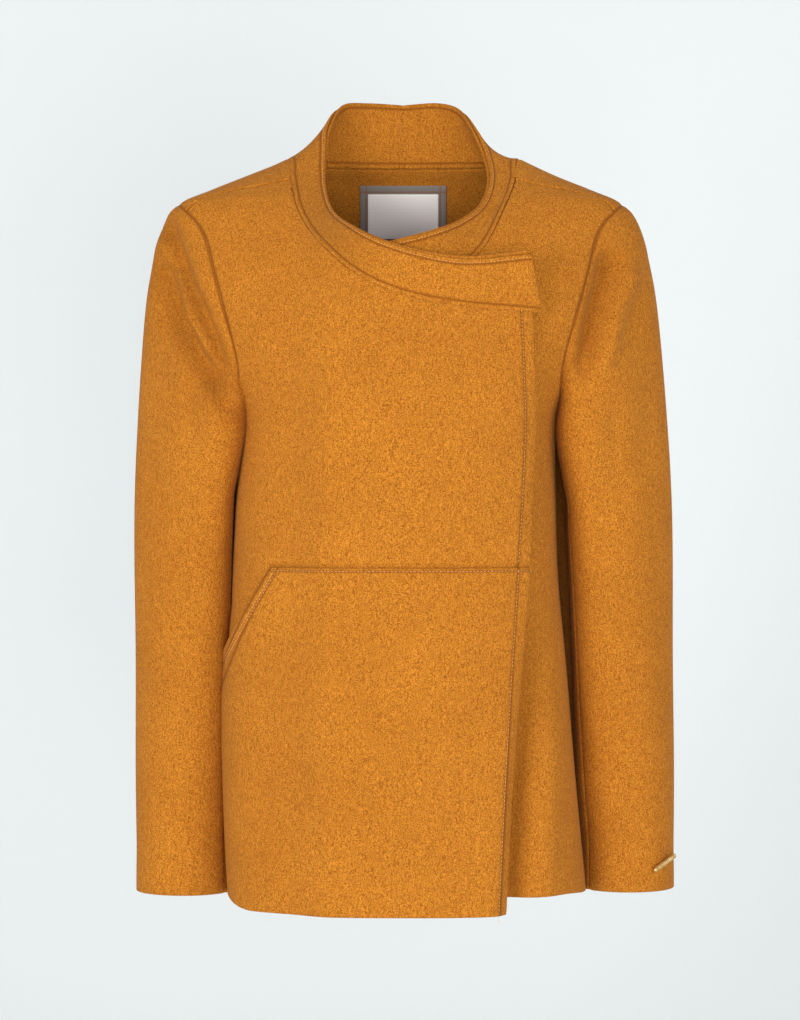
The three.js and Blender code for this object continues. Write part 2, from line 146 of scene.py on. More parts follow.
# Point on the inner face of the body cloth: q is 0 at the front, +90 at the left side, 180 behind
def onBody(q, z):
    power = 2 / shapeAt["squareness"](z)
    side = np.sin(np.radians(q))
    ahead = np.cos(np.radians(q))
    half = np.where(side < 0, shapeAt["rightHalfWidth"](z), shapeAt["leftHalfWidth"](z))
    depth = np.where(ahead > 0, shapeAt["frontDepth"](z), shapeAt["backDepth"](z))
    return np.stack([half * signedPower(side, power), -depth * signedPower(ahead, power),
                     z + 0 * q], axis=-1)


def angleAtX(x, z):
    half = np.where(x < 0, shapeAt["rightHalfWidth"](z), shapeAt["leftHalfWidth"](z))
    ratio = np.minimum(1, np.abs(x) / half)
    return np.degrees(np.sign(x) * np.arcsin(ratio ** (shapeAt["squareness"](z) / 2)))


# How far the cloth at the sides hangs out from the plain body shape, by height
drape = {
    "ripple": 1.0, "rippleAcross": 41, "rippleSlant": 170, "rippleDown": 96, "rippleDeep": 60,
    "sway": 1.3, "swayAcross": 74, "swayDown": 210, "swayDeep": 80,
    "stillAbove": 60, "freeBelow": 200, "sideFrom": 112, "sideTo": 148,
    "frontUntil": -8, "backFrom": 24,
    "rightSide": [[-400, 0], [-450, 4], [-490, 8], [-580, 7], [-690, 3]],
    "leftSide": [[-400, 0], [-531, 3], [-650, 7], [-690, 7.5]],
    "leftFold": {"x": 114, "lean": 0.06, "width": 11, "depth": 15, "from": -350,
                 "fullBelow": -470, "fadeOver": 60, "to": -600,
                 "crestAway": 26, "crestWidth": 12, "crest": 6},
}
sideHang = {name: smoothTable(drape[name]) for name in ("rightSide", "leftSide")}


# Slow in-and-out of hanging cloth, the same for every layer so that they stay apart
def drapeOf(p):
    x, y, z = p[:, 0], p[:, 1], p[:, 2]
    free = smoothStep(-z, drape["stillAbove"], drape["freeBelow"])
    ripple = (drape["ripple"] * np.sin(x / drape["rippleAcross"] + z / drape["rippleSlant"] + 0.6)
              * np.sin(z / drape["rippleDown"] + y / drape["rippleDeep"] + 1.2))
    sway = drape["sway"] * np.sin(
        x / drape["swayAcross"] - z / drape["swayDown"] + y / drape["swayDeep"] + 2.0)
    hang = np.where(x < 0, sideHang["rightSide"](z), sideHang["leftSide"](z))
    sides = hang * smoothStep(np.abs(x), drape["sideFrom"], drape["sideTo"]) * (
        1 - smoothStep(y, drape["frontUntil"], drape["backFrom"]))
    hung = drape["leftFold"]
    line = hung["x"] + hung["lean"] * (z - hung["from"])
    valley = np.exp(-(((x - line) / hung["width"]) ** 2)) * (y < 0)
    crest = np.exp(-(((x - line - hung["crestAway"]) / hung["crestWidth"]) ** 2)) * (y < 0)
    grow = smoothStep(-z, -hung["from"], -hung["to"])
    return free * (ripple + sway) + sides + grow * (hung["crest"] * crest - hung["depth"] * valley)


# Normals of a surface at any (u, v), turned away from the upright line through the middle
def normalsOf(surface, u, v, middle, near=2e-4):
    du = surface(u + near, v) - surface(u - near, v)
    dv = surface(u, v + near) - surface(u, v - near)
    normal = unit(np.cross(du, dv))
    away = surface(u, v) - middle(u, v)
    if np.mean(np.sum(normal * away, axis=1)) < 0:
        normal = -normal
    return normal


# Cuts a (u, v) mesh along keep(u, v) = 0, with vertices near the line pulled onto it
def cutAway(uv, faces, keep, snap=0.24):
    value = keep(uv[:, 0], uv[:, 1])
    pulls = {}
    for face in faces:
        signs = [value[i] > 0 for i in face]
        if all(signs) or not any(signs):
            continue
        for a, b in zip(face, face[1:] + face[:1]):
            if (value[a] > 0) != (value[b] > 0):
                t = value[a] / (value[a] - value[b])
                for vertex, share, other in ((a, t, b), (b, 1 - t, a)):
                    if share < snap and share < pulls.get(vertex, (1, 0))[0]:
                        pulls[vertex] = (share, other)
    before = uv.copy()
    for vertex, (share, other) in pulls.items():
        uv[vertex] = before[vertex] + share * (before[other] - before[vertex])
        value[vertex] = 0
    points = list(map(tuple, uv))
    crossings = {}

    def crossing(a, b):
        key = (min(a, b), max(a, b))
        if key not in crossings:
            t = value[a] / (value[a] - value[b])
            crossings[key] = len(points)
            points.append(tuple(uv[a] + t * (uv[b] - uv[a])))
        return crossings[key]

    kept = []
    for face in faces:
        values = [value[i] for i in face]
        if min(values) >= 0 and max(values) > 0:
            kept.append(face)
        elif max(values) > 0:
            outline = []
            for a, b in zip(face, face[1:] + face[:1]):
                if value[a] >= 0:
                    outline.append(a)
                if value[a] * value[b] < 0:
                    outline.append(crossing(a, b))
            if len(outline) > 2:
                kept.append(outline)
    used = sorted({i for face in kept for i in face})
    place = {old: new for new, old in enumerate(used)}
    return np.array([points[i] for i in used]), [[place[i] for i in face] for face in kept]


# Directed boundary edges, each from a vertex to the next one
def boundaryOf(faces):
    edges = {(a, b) for face in faces for a, b in zip(face, face[1:] + face[:1])}
    return {a: b for a, b in edges if (b, a) not in edges}


def addMesh(name, points, faces, numbers=None):
    mesh = bpy.data.meshes.new(name)
    mesh.from_pydata((points * toMetres).tolist(), [], faces)
    mesh.polygons.foreach_set("use_smooth", [True] * len(mesh.polygons))
    for label, values in (numbers or {}).items():
        mesh.attributes.new(label, "FLOAT", "POINT").data.foreach_set("value", values)
    mesh.update()
    piece = bpy.data.objects.new(name, mesh)
    bpy.context.scene.collection.objects.link(piece)
    return piece


# A sheet of cloth with a rounded rim over a (u, v) surface, between two lifts along its normal
def clothPiece(name, surface, middle, us, vs, low, high, cuts=(), shift=None, marks=None,
               wrap=False, rim=None):
    columns = len(us) - (1 if wrap else 0)
    uv = np.array([(u, v) for v in vs for u in us[:columns]])
    faces = []
    for j in range(len(vs) - 1):
        for i in range(len(us) - 1):
            nextColumn = (i + 1) % columns if wrap else i + 1
            faces.append([j * columns + i, j * columns + nextColumn,
                          (j + 1) * columns + nextColumn, (j + 1) * columns + i])
    for keep in cuts:
        uv, faces = cutAway(uv, faces, keep)
    base = surface(uv[:, 0], uv[:, 1])
    normal = normalsOf(surface, uv[:, 0], uv[:, 1], middle)
    if shift is not None:
        base = base + normal * shift(base)[:, None]
    first = faces[len(faces) // 2]
    facing = np.cross(base[first[1]] - base[first[0]], base[first[2]] - base[first[1]])
    if facing @ normal[first[0]] < 0:
        faces = [face[::-1] for face in faces]
    lowLift = low(base) if callable(low) else np.full(len(base), float(low))
    highLift = high(base) if callable(high) else np.full(len(base), float(high))
    half = (highLift - lowLift) / 2
    centre = base + normal * ((highLift + lowLift) / 2)[:, None]
    count = len(base)
    points = [centre + normal * half[:, None], centre - normal * half[:, None]]
    solid = list(faces) + [[i + count for i in face[::-1]] for face in faces]
    follows = boundaryOf(faces)
    order = list(follows)
    before = {b: a for a, b in follows.items()}
    along = unit(np.array([centre[follows[a]] - centre[before[a]] for a in order]))
    out = unit(np.cross(along, normal[order]))
    reach = cloth["rim"] if rim is None else rim
    steps = cloth["rimSteps"]
    rings = []
    for k in range(1, steps):
        turn = math.pi / 2 - math.pi * k / steps
        rings.append(centre[order] + normal[order] * (half[order] * math.sin(turn))[:, None]
                     + out * reach * math.cos(turn))
    points = np.vstack(points + rings)
    spot = {a: i for i, a in enumerate(order)}
    ring = [lambda a: a] + [lambda a, k=k: 2 * count + k * len(order) + spot[a]
                            for k in range(steps - 1)] + [lambda a: a + count]
    for a, b in follows.items():
        for k in range(steps):
            solid.append([ring[k](b), ring[k](a), ring[k + 1](a), ring[k + 1](b)])
    numbers = {}
    for label, mark in (marks or {}).items():
        values = mark(base) + rowZero
        numbers[label] = np.r_[values, values, np.tile(values[order], steps - 1)]
    return addMesh(name, points, solid, numbers)


# Points on the upright line inside the body, which outward is away from
def axisOf(surface):
    def middle(u, v):
        p = surface(u, v)
        return np.stack([0 * p[:, 0], 0 * p[:, 0], p[:, 2] - 0.3 * np.abs(p[:, 0])], axis=-1)
    return middle


def rowsByLength(surface, u, cell, low=0.0, high=1.0):
    v = np.linspace(low, high, 1500)
    run = surface(np.full_like(v, u), v)
    length = np.r_[0, np.cumsum(np.linalg.norm(np.diff(run, axis=0), axis=1))]
    count = max(2, int(round(length[-1] / cell)))
    return np.interp(np.linspace(0, length[-1], count + 1), length, v)


def columnsByLength(surface, v, cell, low=0.0, high=1.0):
    return rowsByLength(lambda a, b: surface(b, a), v, cell, low, high)


# Cuts that shape the body panels; each gives the distance left to the seam, positive on the cloth
armhole = {"top": -38, "bottom": -228, "depth": 68, "corner": 2.3, "skew": 0.22, "inner": 90}
shoulderSeam = {"y": -34.0, "sideEnd": -24.0, "neckHeight": 5.0, "turnsFrom": 110, "turnsTo": 200}
necklines = {
    "right": [[-104, 6], [-103, -12], [-95, -46], [-74, -81], [-43, -109], [-3, -127],
              [50, -137], [118, -141]],
    "left": [[104, 6], [103, -12], [93, -40], [73, -80], [45, -106], [5, -121],
             [-30, -129], [-64, -133]],
}
neckHeight = {
    "right": smoothTable(necklines["right"][::-1]),
    "left": smoothTable(necklines["left"]),
}


def armholeDistance(p):
    middle = (armhole["top"] + armhole["bottom"]) / 2
    tall = (armhole["top"] - armhole["bottom"]) / 2
    n = armhole["corner"]
    up = np.clip((p[:, 2] - middle) / tall, -1, 1)
    a = np.abs(p[:, 1]) / (armhole["depth"] * (1 - armhole["skew"] * up))
    b = np.abs(p[:, 2] - middle) / tall
    whole = a**n + b**n
    steep = n * np.hypot(a ** (n - 1) / armhole["depth"], b ** (n - 1) / tall)
    away = (whole - 1) / np.maximum(steep, 1e-3)
    return np.where(np.abs(p[:, 0]) > armhole["inner"], away, farAway)


def neckDistance(name, p):
    line = neckHeight[name]
    slope = (line(p[:, 0] + 1) - line(p[:, 0] - 1)) / 2
    return (line(p[:, 0]) - p[:, 2]) / np.hypot(1, slope)


# Distance in front of the shoulder seam, and below the armhole in front of the side seam
def seamDistance(p):
    middle = (armhole["top"] + armhole["bottom"]) / 2
    atShoulder = p[:, 2] > middle
    outer = smoothStep(np.abs(p[:, 0]), shoulderSeam["turnsFrom"], shoulderSeam["turnsTo"])
    line = shoulderSeam["y"] + (shoulderSeam["sideEnd"] - shoulderSeam["y"]) * outer
    return np.where(atShoulder, line - p[:, 1], -p[:, 1])


def onSurface(surface, distance, inset=seamInset):
    return lambda u, v: distance(surface(u, v)) - inset


# Back panel, which comes forward over the shoulders to the shoulder seams
backPanel = {"from": 20, "to": 340, "top": 8.0, "hem": -664.0, "tall": 670}


def backSurface(u, v):
    q = backPanel["from"] + u * (backPanel["to"] - backPanel["from"])
    return onBody(q, backPanel["top"] + v * (backPanel["hem"] - backPanel["top"]))


# The strips that come forward over the shoulders end at the neckline too
def backNeckClear(p):
    ahead = np.where(p[:, 0] < 0, neckDistance("right", p), neckDistance("left", p))
    return np.where(p[:, 1] < 0, ahead, farAway)


def makeBack():
    top = shoulderSeam["neckHeight"]
    return clothPiece(
        "backPanel", backSurface, axisOf(backSurface),
        columnsByLength(backSurface, 0.5, cloth["cell"] * cloth["backCell"]),
        rowsByLength(backSurface, 0.2, cloth["cell"] * cloth["backCell"], 0,
                     1 - cloth["rim"] / backPanel["tall"]),
        0.0, cloth["thickness"],
        cuts=[
            onSurface(backSurface, lambda p: -seamDistance(p)),
            onSurface(backSurface, armholeDistance),
            onSurface(backSurface, lambda p: top - p[:, 2], cloth["neckInset"]),
            onSurface(backSurface, backNeckClear, cloth["neckInset"]),
        ],
        shift=drapeOf,
        marks={
            "armholeRow": armholeDistance,
            "seamRow": lambda p: -seamDistance(p),
            "hemRow": lambda p: p[:, 2] - backPanel["hem"],
        },
    )


# The two fronts: the right one laps over the left and is lifted clear of it
fronts = {
    "right": {"side": -1, "hem": -674, "edge": [[-120, 110], [-220, 110], [-300, 107],
                                                [-400, 102], [-560, 95], [-686, 90]]},
    "left": {"side": 1, "hem": -660, "edge": [[-120, -56], [-660, -60]]},
    "top": 8.0, "hemTurn": 0.3, "facingTop": -112.0, "facingGap": 0.35,
    "facingFrom": {"right": 0.78, "left": 0.7}, "facingTo": 0.985, "facingSheet": 2.4,
    "facingNeckInset": 2.0, "tall": 690, "wide": 330,
}
wrap = {"lift": 12.0, "from": -104, "to": -58}
edgeAt = {name: smoothTable(fronts[name]["edge"]) for name in ("right", "left")}


def wrapLift(p):
    return wrap["lift"] * smoothStep(p[:, 0], wrap["from"], wrap["to"])


def frontSurface(name, top=fronts["top"]):
    side = fronts[name]["side"]
    behind = bodyShape["hemBack"]

    def surface(u, v):
        hem = behind + (fronts[name]["hem"] - behind) * smoothStep(u, 0, fronts["hemTurn"])
        z = top + v * (hem - top)
        start = side * 90.0
        end = angleAtX(edgeAt[name](z), z)
        return onBody(start + u * (end - start), z)

    return surface


# Patch panel over the lower right front, open along a slanted mouth at its upper corner
patch = {
    "top": -366.0, "to": 0.9965, "mouth": [[-115, -366], [-156, -450]], "sink": 2.2,
    "low": 1.1, "high": 3.8, "mouthBulge": 6.0, "mouthWidth": 26, "mouthLength": 92,
    "stepWidth": 5.0, "tall": 315,
}


# Upper end of the slanted mouth, the way it runs, and the way onto the cloth
def mouthLine():
    a, b = np.array(patch["mouth"], float)
    along = (b - a) / np.linalg.norm(b - a)
    return a, along, np.array([-along[1], along[0]])


def mouthDistance(p):
    start, _, inward = mouthLine()
    return (p[:, [0, 2]] - start) @ inward


# The mouth stands open a little
def mouthRise(p):
    beside = np.exp(-((mouthDistance(p) / patch["mouthWidth"]) ** 2))
    middle = patch["top"] - patch["mouthLength"] / 2
    return patch["mouthBulge"] * beside * np.exp(
        -(((p[:, 2] - middle) / (patch["mouthLength"] / 2)) ** 2))


def underPatch(p):
    below = smoothStep(patch["top"] - p[:, 2], -patch["stepWidth"], 1.0)
    return below * smoothStep(mouthDistance(p), -4.0, 6.0)


# How far off the hanging valley of the left front a point is, in widths of the valley; the wool is
# painted darker there as shade
def frontValleyDistance(p):
    valley = drape["leftFold"]
    line = valley["x"] + valley["lean"] * (p[:, 2] - valley["from"])
    above = np.maximum(0, p[:, 2] - valley["fullBelow"]) / valley["fadeOver"]
    return np.abs(p[:, 0] - line) / valley["width"] + above + np.where(p[:, 1] < 0, 0, 9)


def makeFront(name):
    surface = frontSurface(name)
    right = name == "right"
    lift = wrapLift if right else (lambda p: 0 * p[:, 0])
    sink = (lambda p: patch["sink"] * underPatch(p)) if right else (lambda p: 0 * p[:, 0])
    rows = rowsByLength(surface, 0.3, cloth["cell"], 0, 1 - cloth["rim"] / fronts["tall"])
    if right:
        step = (patch["top"] - fronts["top"]) / (fronts[name]["hem"] - fronts["top"])
        rows = np.unique(np.r_[rows, np.linspace(step - 0.010, step + 0.008, 11)])
    side = fronts[name]["side"]
    marks = {
        "edgeRow": lambda p: side * (p[:, 0] - edgeAt[name](p[:, 2])),
        "neckRow": lambda p: neckDistance(name, p),
        "armholeRow": armholeDistance,
        "seamRow": seamDistance,
    }
    if not right:
        marks["foldShadeRow"] = frontValleyDistance
    return clothPiece(
        name + "Front", surface, axisOf(surface),
        columnsByLength(surface, 0.5, cloth["cell"], 0, 1 - cloth["rim"] / fronts["wide"]), rows,
        lambda p: lift(p) - sink(p), lambda p: lift(p) - sink(p) + cloth["thickness"],
        cuts=[
            onSurface(surface, seamDistance),
            onSurface(surface, armholeDistance),
            onSurface(surface, lambda p: neckDistance(name, p), cloth["neckInset"]),
            onSurface(surface, lambda p: shoulderSeam["neckHeight"] - p[:, 2],
                      cloth["neckInset"]),
        ],
        shift=drapeOf,
        marks=marks,
    )


def makeFacing(name):
    surface = frontSurface(name, fronts["facingTop"])
    right = name == "right"
    lift = wrapLift if right else (lambda p: 0 * p[:, 0])
    low = -fronts["facingGap"] - fronts["facingSheet"]
    sink = (lambda p: patch["sink"] * underPatch(p)) if right else (lambda p: 0 * p[:, 0])
    return clothPiece(
        name + "FrontFacing", surface, axisOf(surface),
        columnsByLength(surface, 0.5, cloth["cell"] * cloth["coarse"],
                        fronts["facingFrom"][name], fronts["facingTo"]),
        rowsByLength(surface, 0.9, cloth["cell"] * cloth["coarse"], 0, fronts["facingTo"]),
        lambda p: lift(p) - sink(p) + low, lambda p: lift(p) - sink(p) - fronts["facingGap"],
        cuts=[onSurface(surface, lambda p: neckDistance(name, p),
                        fronts["facingNeckInset"])],
        shift=drapeOf,
    )


def makePatch():
    surface = frontSurface("right", patch["top"])
    return clothPiece(
        "patchPanel", surface, axisOf(surface),
        columnsByLength(surface, 0.5, cloth["cell"], 0, patch["to"]),
        rowsByLength(surface, 0.3, cloth["cell"], cloth["rim"] / patch["tall"],
                     1 - cloth["rim"] / patch["tall"]),
        lambda p: wrapLift(p) + mouthRise(p) + patch["low"],
        lambda p: wrapLift(p) + mouthRise(p) + patch["high"],
        cuts=[
            onSurface(surface, seamDistance),
            onSurface(surface, mouthDistance, cloth["rim"]),
        ],
        shift=drapeOf,
        marks={
            "edgeRow": lambda p: edgeAt["right"](p[:, 2]) - p[:, 0],
            "patchRow": lambda p: patch["top"] - p[:, 2],
            "mouthRow": mouthDistance,
        },
    )


back = makeBack()
rightFront = makeFront("right")
leftFront = makeFront("left")
rightFacing = makeFacing("right")
leftFacing = makeFacing("left")
patchPanel = makePatch()
print("stage: body panels cut")


# Facing inside the back neck, and the woven label sewn to it
neckFacing = {"half": 62, "top": 4.2, "bottom": -73.0, "gap": 0.4, "sheet": 2.4,
              "cell": 5.0, "rows": 16}
label = {
    "half": 40.6, "top": -8.5, "bottom": -64.0, "rimWide": 7.4, "borderSheet": 0.8,
    "faceSheet": 0.5, "gap": 0.25, "rim": 0.3, "linePlace": 5.4,
    "borderGrid": (41, 25), "faceGrid": (31, 17),
}


def neckFacingSurface(u, v):
    height = neckFacing["bottom"] - neckFacing["top"]
    return onBody(180 + neckFacing["half"] * (2 * u - 1), neckFacing["top"] + v * height)


def makeNeckFacing():
    return clothPiece(
        "backNeckFacing", neckFacingSurface, axisOf(neckFacingSurface),
        columnsByLength(neckFacingSurface, 0.5, neckFacing["cell"]),
        np.linspace(0, 1, neckFacing["rows"]),
        -neckFacing["gap"] - neckFacing["sheet"], -neckFacing["gap"],
        marks={"hemRow": lambda p: p[:, 2] - neckFacing["bottom"]},
    )


def labelSurface(half, top, bottom):
    def surface(u, v):
        x = half * (2 * u - 1)
        z = top + v * (bottom - top)
        n = shapeAt["squareness"](z)
        ratio = np.minimum(1, np.abs(x) / np.where(
            x < 0, shapeAt["rightHalfWidth"](z), shapeAt["leftHalfWidth"](z)))
        return np.stack([x, shapeAt["backDepth"](z) * (1 - ratio**n) ** (1 / n), z], axis=-1)
    return surface


labelBehind = -neckFacing["gap"] - neckFacing["sheet"] - label["gap"]


def makeLabelBorder():
    surface = labelSurface(label["half"], label["top"], label["bottom"])
    return clothPiece(
        "labelBorder", surface, axisOf(surface),
        np.linspace(0, 1, label["borderGrid"][0]), np.linspace(0, 1, label["borderGrid"][1]),
        labelBehind - label["borderSheet"], labelBehind, rim=label["rim"],
        marks={"acrossRow": lambda p: label["half"] - np.abs(p[:, 0]),
               "topRow": lambda p: label["top"] - p[:, 2],
               "hemRow": lambda p: p[:, 2] - label["bottom"]},
    )


def makeLabelFace():
    inset = label["rimWide"]
    surface = labelSurface(label["half"] - inset, label["top"] - inset, label["bottom"] + inset)
    front = labelBehind - label["borderSheet"] - label["gap"]
    return clothPiece(
        "labelFace", surface, axisOf(surface),
        np.linspace(0, 1, label["faceGrid"][0]), np.linspace(0, 1, label["faceGrid"][1]),
        front - label["faceSheet"], front, rim=label["rim"],
    )


# Stand collar: two halves that meet at the centre back, each an outer and an inner layer
collar = {
    "sheet": 2.7, "gap": 0.3, "rim": 1.2, "clear": 0.9, "wave": 0.7,
    "bow": {"right": 0.0, "left": 4.5}, "outerDrop": 3.6, "end": 0.0016, "endInset": 1.3,
    "tall": 58, "rows": 20, "bowIn": (0.12, 0.3), "bowOut": (0.5, 0.72), "waves": 17,
    "backAngles": [180, 190, 200, 210, 220, 230, 240, 250, 260, 270, 280],
    "right": [
        [0, 66, 64], [-34, 62, 65.5], [-56, 48, 63], [-67, 24, 45], [-71, 2, 14],
        [-71, -22, -20], [-63, -50, -45], [-44, -82, -61], [-25, -100, -72], [-2, -112, -81],
        [50, -124, -92], [113, -115, -86],
    ],
    "left": [
        [0, 66, 64], [34, 62, 65.5], [51, 48, 60], [64, 24, 40], [75, 2, 10], [78, -22, -14],
        [70, -48, -38], [50, -72, -55], [30, -88, -64], [8, -96, -71], [-20, -90, -77],
        [-58, -76, -84],
    ],
}


def collarCurves(name):
    side = fronts[name]["side"]
    angles = np.array(collar["backAngles"], float)
    height = shoulderSeam["neckHeight"]
    behind = onBody(angles if side < 0 else 360 - angles, np.full(len(angles), height))
    ends = np.array(necklines[name], float)[1:]
    x = np.interp(np.linspace(0, 1, 60), np.linspace(0, 1, len(ends)), ends[:, 0])
    z = neckHeight[name](x)
    ahead = onBody(angleAtX(x, z), z)
    lift = wrapLift(ahead) if side < 0 else 0 * x
    q = angleAtX(x, z)
    normal = normalsOf(onBody, q, z, axisOf(onBody), 0.05)
    ahead = ahead + normal * (drapeOf(ahead) + lift)[:, None]
    return spaceCurve(np.vstack([behind, ahead])), spaceCurve(collar[name])


def collarSurface(name):
    (seam, _), (top, topLength) = collarCurves(name)

    def surface(u, v):
        foot = seam(u)
        edge = top(u)
        tall = np.linalg.norm(edge - foot, axis=-1)
        start = collar["clear"] / tall
        share = (start + v * (1 - start))[..., None]
        return foot + (edge - foot) * share

    return surface, topLength


# The collar hollows towards the neck at its sides and rolls out a little at the top
def collarShift(name, u, v):
    sides = smoothStep(u, *collar["bowIn"]) * (1 - smoothStep(u, *collar["bowOut"]))
    wave = collar["wave"] * np.sin(u * collar["waves"] + 0.8) * np.sin(math.pi * v)
    return -collar["bow"][name] * sides * np.sin(math.pi * v) + wave * (1 - sides)


# Distance from points to the nearest point of a dense run
def nearestTo(run, points):
    return np.min(np.linalg.norm(points[:, None, :] - run[None], axis=2), axis=1)


def bowedCollar(name):
    plain, length = collarSurface(name)

    def middle(u, v):
        p = plain(u, v)
        return np.stack([0 * u, 0 * u, p[:, 2]], axis=-1)

    def surface(u, v):
        away = normalsOf(plain, np.clip(u, 3e-4, 1 - 3e-4), v, middle)
        return plain(u, v) + away * collarShift(name, u, v)[:, None]

    return surface, middle, length


def collarEdge(name, v):
    surface = bowedCollar(name)[0]
    u = np.linspace(0.001, 0.999, 500)
    return surface(u, np.full_like(u, v))


def makeCollar(name, outer):
    surface, middle, length = bowedCollar(name)
    low = collar["gap"] / 2 if outer else -collar["gap"] / 2 - collar["sheet"]
    last = 1 - collar["outerDrop"] / collar["tall"] if outer else 1
    return clothPiece(
        name + ("Collar" if outer else "CollarFacing"), surface, middle,
        np.linspace(collar["end"], 1 - collar["endInset"] / length, int(length / cloth["cell"])),
        np.linspace(0, last, collar["rows"]), low, low + collar["sheet"], rim=collar["rim"],
        marks={
            "bandRow": lambda p: nearestTo(collarEdge(name, last), p),
            "footRow": lambda p: nearestTo(collarEdge(name, 0.0), p),
        },
    )


# Sleeves: a top piece and a narrow under piece, from the armhole to the cuff
sleeve = {
    "seam": 150.0, "startGap": 0.4, "underClear": 6.4, "underLift": 4.8, "power": 5,
    "cell": 3.8, "headOut": 84, "sideOut": 65, "underOut": 12,
    "hug": {"right": [[-240, 1.5], [-330, 2], [-660, 3]],
            "left": [[-240, 7], [-330, 9], [-480, 10], [-600, 7], [-680, 3]]},
    "press": {"right": 0.0, "left": 3.0},
    "bulge": {"right": [[-194, 0], [-212, 10], [-250, 8], [-300, 0]],
              "left": [[-210, 0], [-240, 7], [-270, 6], [-310, 0]]},
    "cuffs": {"right": {"x": -202, "y": 14, "wide": 41.5, "deep": 45, "z": -666},
              "left": {"x": 207, "y": 14, "wide": 40, "deep": 45, "z": -663}},
    "hemFrom": 0.94, "hemTo": 0.9985, "hemSheet": 2.4, "hemGap": 0.4,
    "foldsFrom": 149, "foldsFull": 170, "deepValley": 7, "girth": 190, "length": 640,
    "innerUntil": 166, "outerFrom": 190, "clearBy": 0.016, "fineRowsTo": 0.022,
    "headDrop": 40, "underDrop": 60, "pull": 1.05,
    "folds": {
        "right": [
            {"line": [[-214, -58], [-198, -103], [-175, -153], [-150, -203]],
             "deep": 12.0, "wide": 7.5},
            {"line": [[-216, -96], [-204, -144], [-182, -182], [-150, -224]],
             "deep": 17.0, "wide": 11},
            {"line": [[-214, -92], [-200, -126], [-178, -168]], "deep": -7.0, "wide": 7},
            {"line": [[-236, -250], [-214, -300], [-190, -330]], "deep": 1.8, "wide": 16},
            {"line": [[-190, -420], [-214, -450], [-236, -462]], "deep": 1.6, "wide": 17},
        ],
        "left": [
            {"line": [[186, -92], [171, -143], [156, -184]], "deep": 16.0, "wide": 10},
            {"line": [[208, -104], [192, -146], [180, -182]], "deep": -5.0, "wide": 8},
            {"line": [[222, -90], [206, -130], [196, -158]], "deep": 2.6, "wide": 11},
            {"line": [[240, -632], [252, -623]], "deep": 2.4, "wide": 4},
            {"line": [[228, -230], [206, -282], [184, -312]], "deep": 1.8, "wide": 16},
            {"line": [[190, -440], [214, -470], [236, -478]], "deep": 1.6, "wide": 17},
        ],
    },
    "sway": 1.2,
}


def halfWidthAt(side, y, z):
    n = shapeAt["squareness"](z)
    depth = np.where(y < 0, shapeAt["frontDepth"](z), shapeAt["backDepth"](z))
    half = shapeAt["leftHalfWidth" if side > 0 else "rightHalfWidth"](z)
    return half * (1 - np.minimum(1, np.abs(y) / depth) ** n) ** (1 / n)


def armholePoint(side, turn):
    middle = (armhole["top"] + armhole["bottom"]) / 2
    tall = (armhole["top"] - armhole["bottom"]) / 2
    power = 2 / armhole["corner"]
    up = signedPower(np.cos(turn), power)
    y = -armhole["depth"] * (1 - armhole["skew"] * up) * signedPower(np.sin(turn), power)
    z = middle + tall * up
    return np.stack([side * (halfWidthAt(side, y, z) + sleeve["startGap"]), y, z], axis=-1)


def cuffPoint(name, side, turn):
    cuff = sleeve["cuffs"][name]
    return np.stack([cuff["x"] + side * cuff["wide"] * np.cos(turn),
                     cuff["y"] - cuff["deep"] * np.sin(turn), cuff["z"] + 0 * turn], axis=-1)


def sleeveSurface(name):
    side = fronts[name]["side"]

    def surface(turn, v):
        start = armholePoint(side, turn)
        end = cuffPoint(name, side, turn)
        top = 0.5 + 0.5 * np.cos(turn)
        zero = 0 * turn
        out = np.where(top > 0.5, sleeve["sideOut"] + sleeve["headOut"] * top, 0)
        under = sleeve["underOut"] + (sleeve["sideOut"] + sleeve["headOut"] * 0.5
                                      - sleeve["underOut"]) * smoothStep(top, 0, 0.5)
        out = np.where(top > 0.5, out, under)
        outward = np.stack([side * out, zero,
                            -sleeve["headDrop"] - sleeve["underDrop"] * (1 - top)], axis=-1)
        downward = np.stack([zero, zero, sleeve["pull"] * (end[:, 2] - start[:, 2])], axis=-1)
        below = ((0.5 - 0.5 * np.cos(turn)) ** sleeve["power"])
        clear = sleeve["underClear"] * smoothStep(v, 0, sleeve["clearBy"]) * below
        start = start + np.stack([side * clear, zero, sleeve["underLift"] * below], axis=-1)
        w = v[:, None]
        return ((2 * w**3 - 3 * w**2 + 1) * start + (w**3 - 2 * w**2 + w) * outward
                + (3 * w**2 - 2 * w**3) * end + (w**3 - w**2) * downward)

    return surface


def sleeveAxis(name):
    surface = sleeveSurface(name)
    turns = np.linspace(0, 2 * math.pi, 12, endpoint=False)
    v = np.linspace(0, 1, 80)
    centres = np.mean([surface(np.full_like(v, t), v) for t in turns], axis=0)
    return lambda turn, at: np.stack(
        [np.interp(at, v, centres[:, k]) for k in range(3)], axis=-1)


